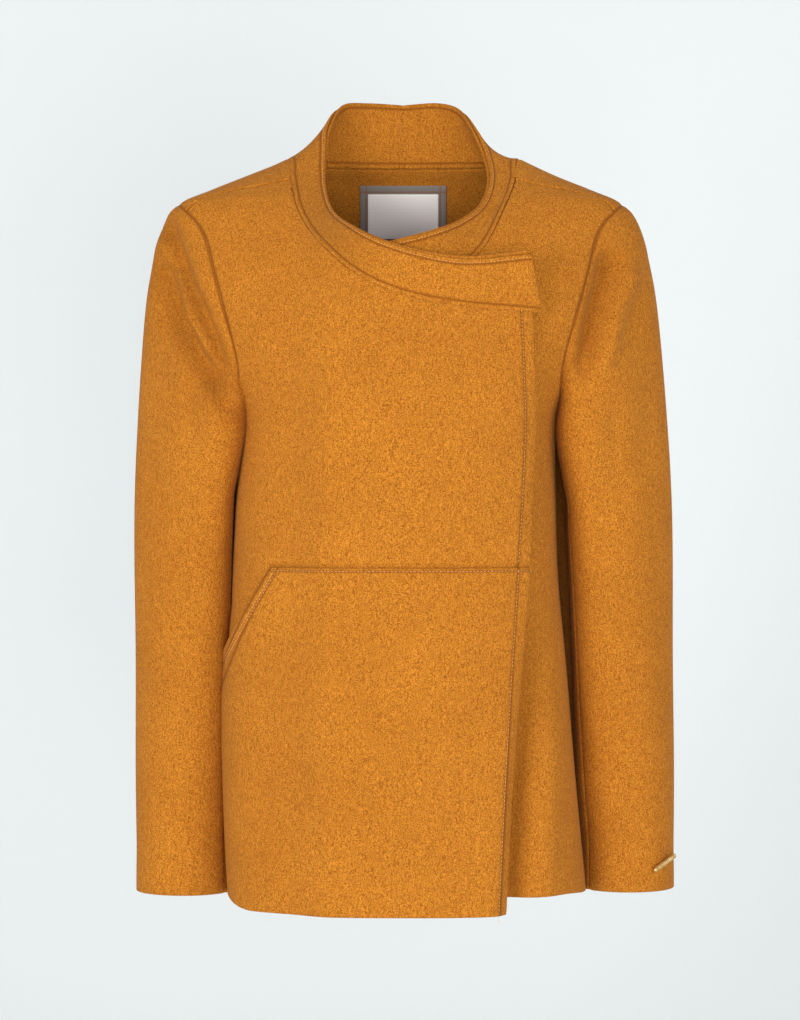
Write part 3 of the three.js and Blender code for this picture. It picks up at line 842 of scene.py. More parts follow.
# Valleys pressed into the front of the sleeve, and a slow sway all over
def sleeveShift(name):
    lines = sleeve["folds"][name]
    hugAt = smoothTable(sleeve["hug"][name])
    bulgeAt = smoothTable(sleeve["bulge"][name])

    def shift(p):
        ahead = smoothStep(-p[:, 1], -8, 16)
        low = np.zeros(len(p))
        for fold in lines:
            away = distanceToLine(p[:, [0, 2]], fold["line"])
            low += fold["deep"] * np.exp(-((away / fold["wide"]) ** 2)) * ahead
        low = low * smoothStep(np.abs(p[:, 0]), sleeve["foldsFrom"], sleeve["foldsFull"])
        sway = sleeve["sway"] * np.sin(p[:, 2] / 58 + p[:, 1] / 47 + 0.5) * np.sin(
            p[:, 2] / 131 + np.abs(p[:, 0]) / 60)
        sway = sway * smoothStep(-p[:, 2], 90, 190) * (1 - smoothStep(-p[:, 2], 610, 655))
        inner = 1 - smoothStep(np.abs(p[:, 0]), sleeve["innerUntil"], sleeve["outerFrom"])
        behind = smoothStep(p[:, 1], 4, 32) * smoothStep(-p[:, 2], 206, 240)
        bulge = bulgeAt(p[:, 2]) * smoothStep(-p[:, 1], 6, 28)
        along = smoothStep(-p[:, 2], 270, 340) * (1 - smoothStep(-p[:, 2], 560, 640))
        close = hugAt(p[:, 2]) * behind + sleeve["press"][name] * along
        return sway + (close + bulge) * inner - low

    return shift


# How far outside the nearest deep valley a point is, in widths of that valley; the wool is painted
# darker there as shade
def valleyDistance(name, p):
    valleys = [fold for fold in sleeve["folds"][name] if fold["deep"] > sleeve["deepValley"]]
    away = [distanceToLine(p[:, [0, 2]], fold["line"]) / fold["wide"] for fold in valleys]
    return np.min(away, axis=0) + np.where(p[:, 1] < 0, 0, 9)


# Below the sleeve head the cloth stands off the body, away from the armhole seam
def sleeveSeamDistance(side, p):
    standOff = np.abs(p[:, 0]) - halfWidthAt(side, p[:, 1], p[:, 2]) - sleeve["startGap"]
    return np.abs(armholeDistance(p)) + np.maximum(0, standOff)


def makeSleeve(name, part):
    surface = sleeveSurface(name)
    seam = math.radians(sleeve["seam"])
    start, end = (-seam, seam) if part == "Top" else (seam, 2 * math.pi - seam)
    axis = sleeveAxis(name)
    shapeOf = lambda u, v: surface(start + u * (end - start), v)
    middle = lambda u, v: axis(None, v)
    inset = seamInset / sleeve["girth"]
    girth = columnsByLength(shapeOf, 0.35, sleeve["cell"],
                            inset if part == "Top" else 5 * inset,
                            1 - inset if part == "Top" else 1 - 5 * inset)
    first = seamInset / sleeve["length"]
    fineTo = sleeve["fineRowsTo"]
    rows = rowsByLength(shapeOf, 0.5, sleeve["cell"], first, 1 - cloth["rim"] / sleeve["length"])
    rows = np.unique(np.r_[rows[:1], np.linspace(first, fineTo, 8), rows[rows > fineTo + 0.003]])
    return clothPiece(
        name + "Sleeve" + part, shapeOf, middle, girth, rows,
        0.0, cloth["thickness"], shift=sleeveShift(name),
        marks={
            "armholeRow": lambda p: sleeveSeamDistance(fronts[name]["side"], p),
            "foldShadeRow": lambda p: valleyDistance(name, p),
            "hemRow": lambda p: p[:, 2] - sleeve["cuffs"][name]["z"],
        },
    )


def makeCuffHem(name):
    surface = sleeveSurface(name)
    span = sleeve["hemFrom"]
    shapeOf = lambda u, v: surface(2 * math.pi * u, span + v * (sleeve["hemTo"] - span))
    axis = sleeveAxis(name)
    return clothPiece(
        name + "CuffHem", shapeOf, lambda u, v: axis(None, span + v * (1 - span)),
        np.linspace(0, 1, 65), np.linspace(0, 1, 9),
        -sleeve["hemGap"] - sleeve["hemSheet"], -sleeve["hemGap"], wrap=True,
        shift=sleeveShift(name),
    )


neckFacingPiece = makeNeckFacing()
labelBorder = makeLabelBorder()
labelFace = makeLabelFace()
rightCollar = makeCollar("right", True)
rightCollarFacing = makeCollar("right", False)
leftCollar = makeCollar("left", True)
leftCollarFacing = makeCollar("left", False)
print("stage: collar and neck made")
rightSleeveTop = makeSleeve("right", "Top")
rightSleeveUnder = makeSleeve("right", "Under")
leftSleeveTop = makeSleeve("left", "Top")
leftSleeveUnder = makeSleeve("left", "Under")
rightCuffHem = makeCuffHem("right")
leftCuffHem = makeCuffHem("left")
print("stage: sleeves made")


# Ridged brass bar across the outside of the left cuff
bar = {
    "turn": 0.25 * math.pi, "height": -637.0, "rise": 0.38, "away": 6.3, "length": 34.0,
    "back": 2.5, "radius": 2.5, "ridges": 15, "ridgeDepth": 0.42, "cap": 2.6, "rings": 150, "sides": 20,
}


def makeCuffBar():
    cuff = sleeve["cuffs"]["left"]
    foot = cuffPoint("left", 1, np.array([bar["turn"]]))[0]
    along = unit(np.array([cuff["wide"] * math.sin(bar["turn"]),
                           cuff["deep"] * math.cos(bar["turn"]), 0.0]))
    out = np.array([along[1], -along[0], 0.0])
    along = unit(along + np.array([0, 0, bar["rise"]]))
    up = unit(np.cross(out, along))
    middle = foot + out * bar["away"] - along * bar["back"]
    middle[2] = bar["height"]
    half = bar["length"] / 2
    points = []
    for i in range(1, bar["rings"]):
        s = -math.cos(math.pi * i / bar["rings"]) * half
        inside = half - abs(s)
        roundness = math.sqrt(max(0, 1 - max(0, 1 - inside / bar["radius"]) ** 2))
        depth = bar["ridgeDepth"] if inside > bar["cap"] else 0
        ridge = depth * abs(math.sin(math.pi * bar["ridges"] * s / half / 2))
        r = bar["radius"] * roundness - depth + ridge
        for k in range(bar["sides"]):
            turn = 2 * math.pi * k / bar["sides"]
            points.append(middle + along * s + r * (math.cos(turn) * out + math.sin(turn) * up))
    n = bar["sides"]
    rows = bar["rings"] - 1
    faces = [[j * n + k, j * n + (k + 1) % n, (j + 1) * n + (k + 1) % n, (j + 1) * n + k]
             for j in range(rows - 1) for k in range(n)]
    points += [middle - along * half, middle + along * half]
    first, last = len(points) - 2, len(points) - 1
    faces += [[first, (k + 1) % n, k] for k in range(n)]
    faces += [[last, (rows - 1) * n + k, (rows - 1) * n + (k + 1) % n] for k in range(n)]
    points = np.array(points)
    a, b, c = (points[faces[0][k]] for k in range(3))
    if np.cross(b - a, c - b) @ (a - middle) < 0:
        faces = [face[::-1] for face in faces]
    return addMesh("cuffBar", points, faces)


cuffBar = makeCuffBar()


# Small helpers for building shaders
def addNode(tree, kind, settings=None, **values):
    node = tree.nodes.new(kind)
    for key, value in (settings or {}).items():
        setattr(node, key, value)
    for key, value in values.items():
        node.inputs[key].default_value = value
    return node


def math2(tree, operation, a, b=0.0):
    node = addNode(tree, "ShaderNodeMath", {"operation": operation})
    for socket, value in zip(node.inputs, (a, b)):
        if isinstance(value, bpy.types.NodeSocket):
            tree.links.new(value, socket)
        else:
            socket.default_value = value
    return node.outputs[0]


def noise(tree, coords, scale, detail=2.0, rough=0.5, stretch=(1, 1, 1), distortion=0.0):
    mapping = addNode(tree, "ShaderNodeMapping")
    mapping.inputs["Scale"].default_value = stretch
    tree.links.new(coords, mapping.inputs["Vector"])
    node = addNode(tree, "ShaderNodeTexNoise", None, Scale=scale, Detail=detail,
                   Roughness=rough, Distortion=distortion)
    tree.links.new(mapping.outputs["Vector"], node.inputs["Vector"])
    return node.outputs["Fac"]


def mixColours(tree, share, first, second):
    node = addNode(tree, "ShaderNodeMix", {"data_type": "RGBA"})
    for socket, value in ((node.inputs[0], share), (node.inputs[6], first),
                          (node.inputs[7], second)):
        if isinstance(value, bpy.types.NodeSocket):
            tree.links.new(value, socket)
        else:
            socket.default_value = value
    return node.outputs[2]


def spread(tree, value, low, high, toLow=0.0, toHigh=1.0):
    node = addNode(tree, "ShaderNodeMapRange")
    tree.links.new(value, node.inputs["Value"])
    node.inputs["From Min"].default_value = low
    node.inputs["From Max"].default_value = high
    node.inputs["To Min"].default_value = toLow
    node.inputs["To Max"].default_value = toHigh
    return node.outputs["Result"]


# Bell-shaped groove along a stitched line, from the distance stored on the cloth
def groove(tree, attribute, place, width):
    node = addNode(tree, "ShaderNodeAttribute", {"attribute_name": attribute})
    past = math2(tree, "SUBTRACT", node.outputs["Fac"], place + rowZero)
    away = math2(tree, "DIVIDE", past, width)
    falling = math2(tree, "MULTIPLY", -1.0, math2(tree, "MULTIPLY", away, away))
    return math2(tree, "POWER", math.e, falling)


# Boiled wool: felted nap with heathered colour, stitched grooves and a soft sheen, with painted shade
# along the stitched grooves, in the fold valleys and on the inside pieces
wool = {
    "dark": (0.24, 0.068, 0.004, 1), "light": (0.60, 0.222, 0.022, 1),
    "shade": (0.21, 0.058, 0.004, 1),
    "heatherScale": 980.0, "heatherShare": 0.78, "streakScale": 700.0, "streakShare": 0.22,
    "fleck": (0.41, 0.59), "blotchScale": 13.0, "blotchShare": 0.8,
    "clumpScale": 330.0, "clumpShare": 0.2, "patchy": (0.38, 0.62, 0.16, 0.0),
    "napScale": 950.0, "napHeight": 0.30, "clumpHeight": 0.26, "feltScale": 62.0,
    "feltHeight": 0.5, "grooveDepth": 0.75, "grooveShade": 0.85,
    "puckerScale": 120.0, "puckerHeight": 0.5,
    # Strength and width of the painted shade in the fold valleys
    "paintedFoldShade": 0.3, "paintedFoldShadeWidth": 1.5,
    "sheen": 0.09, "sheenRoughness": 0.5, "sheenTint": (1.0, 0.62, 0.28, 1),
    "rough": (0.84, 0.98), "specular": 0.10,
    "rows": [("edgeRow", 9.8, 1.3), ("mouthRow", 6.4, 1.1), ("mouthRow", 0.5, 1.0),
             ("patchRow", 3.0, 1.1), ("bandRow", 3.4, 1.2), ("footRow", 3.6, 1.1),
             ("armholeRow", 0.9, 0.9)],
}


def woolMaterial(name, paintedShade=0.0):
    material = bpy.data.materials.new(name)
    material.use_nodes = True
    tree = material.node_tree
    shader = tree.nodes["Principled BSDF"]
    coords = addNode(tree, "ShaderNodeTexCoord").outputs["Object"]
    heather = noise(tree, coords, wool["heatherScale"], 3.0, 0.65)
    streak = noise(tree, coords, wool["streakScale"], 3.0, 0.6, (1.0, 1.0, 0.3), 0.4)
    blotch = noise(tree, coords, wool["blotchScale"], 3.0, 0.55)
    clump = noise(tree, coords, wool["clumpScale"], 4.0, 0.6)
    fleck = math2(tree, "ADD", math2(tree, "MULTIPLY", heather, wool["heatherShare"]),
                  math2(tree, "MULTIPLY", streak, wool["streakShare"]))
    colour = mixColours(tree, spread(tree, fleck, *wool["fleck"]), wool["dark"], wool["light"])
    cloudy = math2(tree, "ADD", math2(tree, "MULTIPLY", blotch, wool["blotchShare"]),
                   math2(tree, "MULTIPLY", clump, wool["clumpShare"]))
    patchy = spread(tree, cloudy, *wool["patchy"])
    colour = mixColours(tree, patchy, colour, wool["shade"])
    lines = None
    for attribute, place, width in wool["rows"]:
        one = groove(tree, attribute, place, width)
        lines = one if lines is None else math2(tree, "MAXIMUM", lines, one)
    colour = mixColours(tree, math2(tree, "MULTIPLY", lines, wool["grooveShade"]), colour,
                        wool["shade"])
    # Painted shade: the wool is darkened towards the shade colour in the deep fold valleys
    paintedFoldShade = groove(tree, "foldShadeRow", 0.0, wool["paintedFoldShadeWidth"])
    colour = mixColours(tree, math2(tree, "MULTIPLY", paintedFoldShade, wool["paintedFoldShade"]), colour,
                        wool["shade"])
    # Painted shade: the inside pieces are mixed towards the shade colour
    if paintedShade:
        colour = mixColours(tree, paintedShade, colour, wool["shade"])
    tree.links.new(colour, shader.inputs["Base Color"])
    tree.links.new(spread(tree, clump, 0.3, 0.7, wool["rough"][0], wool["rough"][1]),
                   shader.inputs["Roughness"])
    nap = noise(tree, coords, wool["napScale"], 3.0, 0.7)
    felt = noise(tree, coords, wool["feltScale"], 3.0, 0.55)
    pucker = math2(tree, "MULTIPLY", noise(tree, coords, wool["puckerScale"], 2.0, 0.5),
                   math2(tree, "MULTIPLY", lines, wool["puckerHeight"]))
    height = math2(tree, "MULTIPLY", nap, wool["napHeight"])
    height = math2(tree, "ADD", height, math2(tree, "MULTIPLY", clump, wool["clumpHeight"]))
    height = math2(tree, "ADD", height, math2(tree, "MULTIPLY", felt, wool["feltHeight"]))
    height = math2(tree, "ADD", height, pucker)
    height = math2(tree, "SUBTRACT", height,
                   math2(tree, "MULTIPLY", lines, wool["grooveDepth"]))
    bump = addNode(tree, "ShaderNodeBump", None, Strength=1.0, Distance=toMetres)
    tree.links.new(height, bump.inputs["Height"])
    tree.links.new(bump.outputs["Normal"], shader.inputs["Normal"])
    shader.inputs["Specular IOR Level"].default_value = wool["specular"]
    shader.inputs["Sheen Weight"].default_value = wool["sheen"]
    shader.inputs["Sheen Roughness"].default_value = wool["sheenRoughness"]
    shader.inputs["Sheen Tint"].default_value = wool["sheenTint"]
    return material


# Woven ribbon and satin of the neck label
labelLook = {
    "grey": (0.14, 0.115, 0.10, 1), "greyLight": (0.27, 0.235, 0.21, 1),
    "brown": (0.20, 0.085, 0.03, 1), "pale": (0.95, 0.91, 0.87, 1),
    "paleDark": (0.86, 0.80, 0.75, 1), "lineWide": 0.8, "lineShade": 0.85,
    "faceRibs": 240.0, "tapeRibs": 420.0, "weaveScale": 1500.0, "weaveDepth": 0.12,
    "faceRough": (0.42, 0.6), "tapeRough": (0.6, 0.8), "sheen": 0.2,
}


def labelMaterial(name, face):
    material = bpy.data.materials.new(name)
    material.use_nodes = True
    tree = material.node_tree
    shader = tree.nodes["Principled BSDF"]
    coords = addNode(tree, "ShaderNodeTexCoord").outputs["Object"]
    direction = {"wave_type": "BANDS", "bands_direction": "Z" if face else "X"}
    ribs = addNode(tree, "ShaderNodeTexWave", direction, Distortion=0.6, Detail=2.0,
                   Scale=labelLook["faceRibs" if face else "tapeRibs"])
    tree.links.new(coords, ribs.inputs["Vector"])
    weave = ribs.outputs["Fac"]
    fine = noise(tree, coords, labelLook["weaveScale"], 2.0, 0.6)
    low, high = ("paleDark", "pale") if face else ("grey", "greyLight")
    mixed = math2(tree, "ADD", math2(tree, "MULTIPLY", weave, 0.5),
                  math2(tree, "MULTIPLY", fine, 0.5))
    colour = mixColours(tree, spread(tree, mixed, 0.3, 0.7), labelLook[low], labelLook[high])
    if not face:
        for attribute in ("acrossRow", "topRow", "hemRow"):
            line = groove(tree, attribute, label["linePlace"], labelLook["lineWide"])
            colour = mixColours(tree, math2(tree, "MULTIPLY", line, labelLook["lineShade"]),
                                colour, labelLook["brown"])
    tree.links.new(colour, shader.inputs["Base Color"])
    rough = labelLook["faceRough" if face else "tapeRough"]
    tree.links.new(spread(tree, fine, 0.3, 0.7, *rough), shader.inputs["Roughness"])
    bump = addNode(tree, "ShaderNodeBump", None, Strength=0.6,
                   Distance=labelLook["weaveDepth"] * toMetres)
    tree.links.new(mixed, bump.inputs["Height"])
    tree.links.new(bump.outputs["Normal"], shader.inputs["Normal"])
    shader.inputs["Sheen Weight"].default_value = labelLook["sheen"]
    return material


# Metals: brushed brass of the bar and the press studs' steel
metals = {
    "brass": {"dark": (0.55, 0.33, 0.10, 1), "light": (0.86, 0.60, 0.25, 1),
              "rough": (0.24, 0.42)},
    "steel": {"dark": (0.30, 0.30, 0.30, 1), "light": (0.55, 0.55, 0.53, 1),
              "rough": (0.25, 0.45)},
    "scratchScale": 900.0, "wearScale": 160.0, "scratchDepth": 0.05,
}


def metalMaterial(name, look):
    material = bpy.data.materials.new(name)
    material.use_nodes = True
    tree = material.node_tree
    shader = tree.nodes["Principled BSDF"]
    coords = addNode(tree, "ShaderNodeTexCoord").outputs["Object"]
    scratch = noise(tree, coords, metals["scratchScale"], 2.0, 0.6, (1, 1, 0.15))
    wear = noise(tree, coords, metals["wearScale"], 3.0, 0.6)
    tree.links.new(mixColours(tree, spread(tree, wear, 0.35, 0.65), look["dark"], look["light"]),
                   shader.inputs["Base Color"])
    tree.links.new(spread(tree, scratch, 0.3, 0.7, *look["rough"]), shader.inputs["Roughness"])
    bump = addNode(tree, "ShaderNodeBump", None, Strength=0.25,
                   Distance=metals["scratchDepth"] * toMetres)
    tree.links.new(scratch, bump.inputs["Height"])
    tree.links.new(bump.outputs["Normal"], shader.inputs["Normal"])
    shader.inputs["Metallic"].default_value = 1.0
    return material


# Sewing thread, a little lighter than the wool
thread = {
    "pitch": 3.3, "length": 2.5, "thick": 0.5, "seed": 4, "sides": 6, "rings": 4,
    "dark": (0.52, 0.22, 0.04, 1), "light": (0.86, 0.46, 0.13, 1), "lift": 0.05,
    "greyDark": (0.10, 0.08, 0.06, 1), "greyLight": (0.22, 0.19, 0.16, 1),
    "twistScale": 2600.0, "twistDepth": 0.08, "sheen": 0.3, "uneven": (0.86, 1.08),
}


def threadMaterial(name, dark, light):
    material = bpy.data.materials.new(name)
    material.use_nodes = True
    tree = material.node_tree
    shader = tree.nodes["Principled BSDF"]
    coords = addNode(tree, "ShaderNodeTexCoord").outputs["Object"]
    twist = noise(tree, coords, thread["twistScale"], 2.0, 0.6)
    tree.links.new(mixColours(tree, spread(tree, twist, 0.35, 0.65), dark, light),
                   shader.inputs["Base Color"])
    tree.links.new(spread(tree, twist, 0.3, 0.7, 0.5, 0.75), shader.inputs["Roughness"])
    bump = addNode(tree, "ShaderNodeBump", None, Strength=0.5,
                   Distance=thread["twistDepth"] * toMetres)
    tree.links.new(twist, bump.inputs["Height"])
    tree.links.new(bump.outputs["Normal"], shader.inputs["Normal"])
    shader.inputs["Sheen Weight"].default_value = thread["sheen"]
    return material


woolOutside = woolMaterial("boiledWool")
# The inside wool is the outside wool painted darker as shade
insideWoolPaintedShade = woolMaterial("boiledWoolInsidePaintedShade", paintedShade=0.12)
labelGrey = labelMaterial("labelRibbon", False)
labelPale = labelMaterial("labelSatin", True)
brass = metalMaterial("ridgedBrass", metals["brass"])
steel = metalMaterial("studSteel", metals["steel"])
seamThread = threadMaterial("mustardThread", thread["dark"], thread["light"])
labelThread = threadMaterial("greyThread", thread["greyDark"], thread["greyLight"])
print("stage: materials made")


# Rows of stitches: each row is a line of points on the cloth, in millimetres
stitchRows = {
    "edge": {"inset": 9.8, "from": -128, "above": 6, "below": 4, "to": -678},
    "patchTop": {"below": 3.0, "from": -112, "to": 103},
    "patchMouth": {"inside": [5.4, 7.4], "from": -372, "to": -452},
    "collarTop": {"below": 4.8, "from": 0.012, "to": 0.988},
    "label": {"inset": 1.6},
}


def onFront(x, z, lift):
    q = angleAtX(x, z)
    base = onBody(q, z)
    normal = normalsOf(onBody, q, z, axisOf(onBody), 0.05)
    base = base + normal * drapeOf(base)[:, None]
    return base + normal * lift(base)[:, None]


def rightOutside(p):
    return wrapLift(p) - patch["sink"] * underPatch(p) + cloth["thickness"] + thread["lift"]


def patchOutside(p):
    return wrapLift(p) + mouthRise(p) + patch["high"] + thread["lift"]


def edgeRow():
    row = stitchRows["edge"]
    z = np.linspace(row["from"], patch["top"] + row["above"], 160)
    return onFront(edgeAt["right"](z) - row["inset"], z, rightOutside)


def patchEdgeRow():
    row = stitchRows["edge"]
    z = np.linspace(patch["top"] - row["below"], row["to"], 200)
    return onFront(edgeAt["right"](z) - row["inset"], z, patchOutside)


def patchTopRow():
    row = stitchRows["patchTop"]
    x = np.linspace(row["from"], row["to"], 180)
    return onFront(x, np.full_like(x, patch["top"] - row["below"]), patchOutside)


def patchMouthRow(inside):
    row = stitchRows["patchMouth"]
    start, along, inward = mouthLine()
    z = np.linspace(row["from"], row["to"], 60)
    x = start[0] + ((z - start[1]) / along[1]) * along[0] + inside / inward[0]
    return onFront(x, z, patchOutside)


def collarRow(name):
    surface, middle, _ = bowedCollar(name)
    row = stitchRows["collarTop"]
    u = np.linspace(row["from"], row["to"], 260)
    foot = surface(u, 0 * u)
    edge = surface(u, 0 * u + 1)
    v = 1 - row["below"] / np.linalg.norm(edge - foot, axis=1)
    away = collar["gap"] / 2 + collar["sheet"] + thread["lift"]
    return surface(u, v) + normalsOf(surface, u, v, middle) * away


def labelRow():
    inset = stitchRows["label"]["inset"]
    surface = labelSurface(label["half"] - inset, label["top"] - inset, label["bottom"] + inset)
    s = np.linspace(0, 1, 60)
    u = np.r_[s, 0 * s + 1, 1 - s, 0 * s]
    v = np.r_[0 * s, s, 0 * s + 1, 1 - s]
    lift = labelBehind - label["borderSheet"] - thread["lift"]
    return surface(u, v) + normalsOf(surface, u, v, axisOf(surface)) * lift


# Geometry Nodes: a run of points becomes a row of small stitches along it
def stitchNodes(material):
    group = bpy.data.node_groups.new("stitchRow", "GeometryNodeTree")
    sockets = group.interface
    sockets.new_socket("Geometry", in_out="INPUT", socket_type="NodeSocketGeometry")
    for name, value in (("Pitch", thread["pitch"]), ("Stitch Length", thread["length"]),
                        ("Thickness", thread["thick"])):
        sockets.new_socket(name, in_out="INPUT", socket_type="NodeSocketFloat").default_value = (
            value * toMetres)
    sockets.new_socket("Seed", in_out="INPUT", socket_type="NodeSocketInt").default_value = 1
    sockets.new_socket("Geometry", in_out="OUTPUT", socket_type="NodeSocketGeometry")
    nodes, links = group.nodes, group.links
    given = nodes.new("NodeGroupInput")
    made = nodes.new("NodeGroupOutput")
    curve = nodes.new("GeometryNodeMeshToCurve")
    spaced = nodes.new("GeometryNodeResampleCurve")
    spaced.mode = "LENGTH"
    tangent = nodes.new("GeometryNodeInputTangent")
    turned = nodes.new("FunctionNodeAlignRotationToVector")
    turned.axis = "X"
    ball = nodes.new("GeometryNodeMeshUVSphere")
    ball.inputs["Segments"].default_value = thread["sides"]
    ball.inputs["Rings"].default_value = thread["rings"]
    ball.inputs["Radius"].default_value = 0.5
    size = nodes.new("ShaderNodeCombineXYZ")
    uneven = nodes.new("FunctionNodeRandomValue")
    uneven.data_type = "FLOAT"
    uneven.inputs[2].default_value = thread["uneven"][0]
    uneven.inputs[3].default_value = thread["uneven"][1]
    scaled = nodes.new("ShaderNodeVectorMath")
    scaled.operation = "SCALE"
    placed = nodes.new("GeometryNodeInstanceOnPoints")
    real = nodes.new("GeometryNodeRealizeInstances")
    coloured = nodes.new("GeometryNodeSetMaterial")
    coloured.inputs["Material"].default_value = material
    links.new(given.outputs["Geometry"], curve.inputs["Mesh"])
    links.new(curve.outputs["Curve"], spaced.inputs["Curve"])
    links.new(given.outputs["Pitch"], spaced.inputs["Length"])
    links.new(tangent.outputs["Tangent"], turned.inputs["Vector"])
    links.new(given.outputs["Stitch Length"], size.inputs["X"])
    links.new(given.outputs["Thickness"], size.inputs["Y"])
    links.new(given.outputs["Thickness"], size.inputs["Z"])
    links.new(given.outputs["Seed"], uneven.inputs["Seed"])
    links.new(size.outputs["Vector"], scaled.inputs[0])
    links.new(uneven.outputs[1], scaled.inputs["Scale"])
    links.new(spaced.outputs["Curve"], placed.inputs["Points"])
    links.new(ball.outputs["Mesh"], placed.inputs["Instance"])
    links.new(turned.outputs["Rotation"], placed.inputs["Rotation"])
    links.new(scaled.outputs["Vector"], placed.inputs["Scale"])
    links.new(placed.outputs["Instances"], real.inputs["Geometry"])
    links.new(real.outputs["Geometry"], coloured.inputs["Geometry"])
    links.new(coloured.outputs["Geometry"], made.inputs["Geometry"])
    return group


def stitchPiece(name, rows, material):
    points = np.vstack(rows)
    starts = np.cumsum([0] + [len(row) for row in rows])
    edges = [(i, i + 1) for a, b in zip(starts[:-1], starts[1:]) for i in range(a, b - 1)]
    guide = bpy.data.meshes.new(name + "Guide")
    guide.from_pydata((points * toMetres).tolist(), edges, [])
    holder = bpy.data.objects.new(name + "Guide", guide)
    bpy.context.scene.collection.objects.link(holder)
    modifier = holder.modifiers.new("stitches", "NODES")
    modifier.node_group = stitchNodes(material)
    for item in modifier.node_group.interface.items_tree:
        if item.in_out == "INPUT" and item.name == "Seed":
            modifier[item.identifier] = thread["seed"] + len(name)
    holder.update_tag()
    seen = holder.evaluated_get(bpy.context.evaluated_depsgraph_get())
    mesh = bpy.data.meshes.new_from_object(seen)
    mesh.name = name
    piece = bpy.data.objects.new(name, mesh)
    bpy.context.scene.collection.objects.link(piece)
    bpy.data.objects.remove(holder)
    mesh.polygons.foreach_set("use_smooth", [True] * len(mesh.polygons))
    return piece


rightFrontStitches = stitchPiece(
    "rightFrontStitches", [edgeRow(), collarRow("right")], seamThread)
patchStitches = stitchPiece(
    "patchStitches",
    [patchEdgeRow(), patchTopRow()]
    + [patchMouthRow(inside) for inside in stitchRows["patchMouth"]["inside"]], seamThread)
leftCollarStitches = stitchPiece(
    "leftCollarStitches", [collarRow("left")], seamThread)
labelStitches = stitchPiece("labelStitches", [labelRow()], labelThread)
print("stage: stitches sewn")


def bendFront(piece, name):
    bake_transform(piece)


def bendSleeve(piece, name):
    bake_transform(piece)


# What each cloth piece is made of, how it moves, and the size it is cut to, in metres
pieces = [
    (back, ["back_panel"], "wool", woolOutside, ("ride", "shell"), (0.46, 0.70), 0.289),
    (rightFront, ["right_front_side", "right_front_wrap"], "wool", woolOutside,
     ("front", "right"), (0.345, 0.70), 0.199),
    (leftFront, ["left_front_side", "left_front_wrap"], "wool", woolOutside,
     ("front", "left"), (0.275, 0.68), 0.157),
    (patchPanel, ["right_pocket_side", "right_pocket_wrap"], "wool", woolOutside,
     ("front", "right"), (0.345, 0.325), 0.102),
    (rightFacing, ["right_front_facing"], "wool_inside", insideWoolPaintedShade,
     ("ride", "right_front"), (0.072, 0.585), 0.0376),
    (leftFacing, ["left_front_facing"], "wool_inside", insideWoolPaintedShade,
     ("ride", "left_front"), (0.108, 0.575), 0.0566),
    (neckFacingPiece, ["back_neck_facing"], "wool_inside", insideWoolPaintedShade,
     ("ride", "shell"), (0.42, 0.078), 0.0316),
    (rightCollar, ["right_collar_back", "right_collar_front"], "wool", woolOutside,
     ("front", "right"), (0.335, 0.070), 0.0204),
    (rightCollarFacing, ["right_collar_facing_back", "right_collar_facing_front"],
     "wool_inside", insideWoolPaintedShade, ("front", "right"), (0.335, 0.070), 0.0204),
    (leftCollar, ["left_collar_back", "left_collar_front"], "wool", woolOutside,
     ("front", "left"), (0.29, 0.070), 0.0170),
    (leftCollarFacing, ["left_collar_facing_back", "left_collar_facing_front"],
     "wool_inside", insideWoolPaintedShade, ("front", "left"), (0.29, 0.070), 0.0170),
    (rightSleeveTop, ["right_sleeve_top"], "wool", woolOutside,
     ("sleeve", "right"), (0.30, 0.64), 0.153),
    (rightSleeveUnder, ["right_sleeve_under"], "wool", woolOutside,
     ("ride", "right_sleeve"), (0.066, 0.50), 0.0310),
    (leftSleeveTop, ["left_sleeve_top"], "wool", woolOutside,
     ("sleeve", "left"), (0.30, 0.64), 0.157),
    (leftSleeveUnder, ["left_sleeve_under"], "wool", woolOutside,
     ("ride", "left_sleeve"), (0.066, 0.50), 0.0310),
    (rightCuffHem, ["right_cuff_hem"], "wool_inside", insideWoolPaintedShade,
     ("ride", "right_sleeve"), (0.27, 0.040), 0.0099),
    (leftCuffHem, ["left_cuff_hem"], "wool_inside", insideWoolPaintedShade,
     ("ride", "left_sleeve"), (0.27, 0.040), 0.0099),
    (labelBorder, ["label_border"], "label_border", labelGrey,
     ("ride", "shell"), (0.084, 0.058), 0.0048),
    (labelFace, ["label_face"], "label_face", labelPale,
     ("ride", "shell"), (0.068, 0.0435), 0.0029),
]
for piece, nodes, slot, material, moves, flat, area in pieces:
    piece.data.materials.append(material)
    if moves[0] == "ride":
        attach(piece, moves[1])
    elif moves[0] == "front":
        bendFront(piece, moves[1])
    else:
        bendSleeve(piece, moves[1])
    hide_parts(*nodes)

cuffBar.data.materials.append(brass)
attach(cuffBar, "left_sleeve")
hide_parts("cuff_bar")
bendFront(rightFrontStitches, "right")
bendFront(patchStitches, "right")
bendFront(leftCollarStitches, "left")
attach(labelStitches, "shell")
for name in ("cuff_bar_plate", "stud_ball_upper", "stud_ball_lower", "stud_socket_upper",
             "stud_socket_lower"):
    for slot in bpy.data.objects[name].material_slots:
        slot.material = steel
print("stage: pieces ride on the frame")


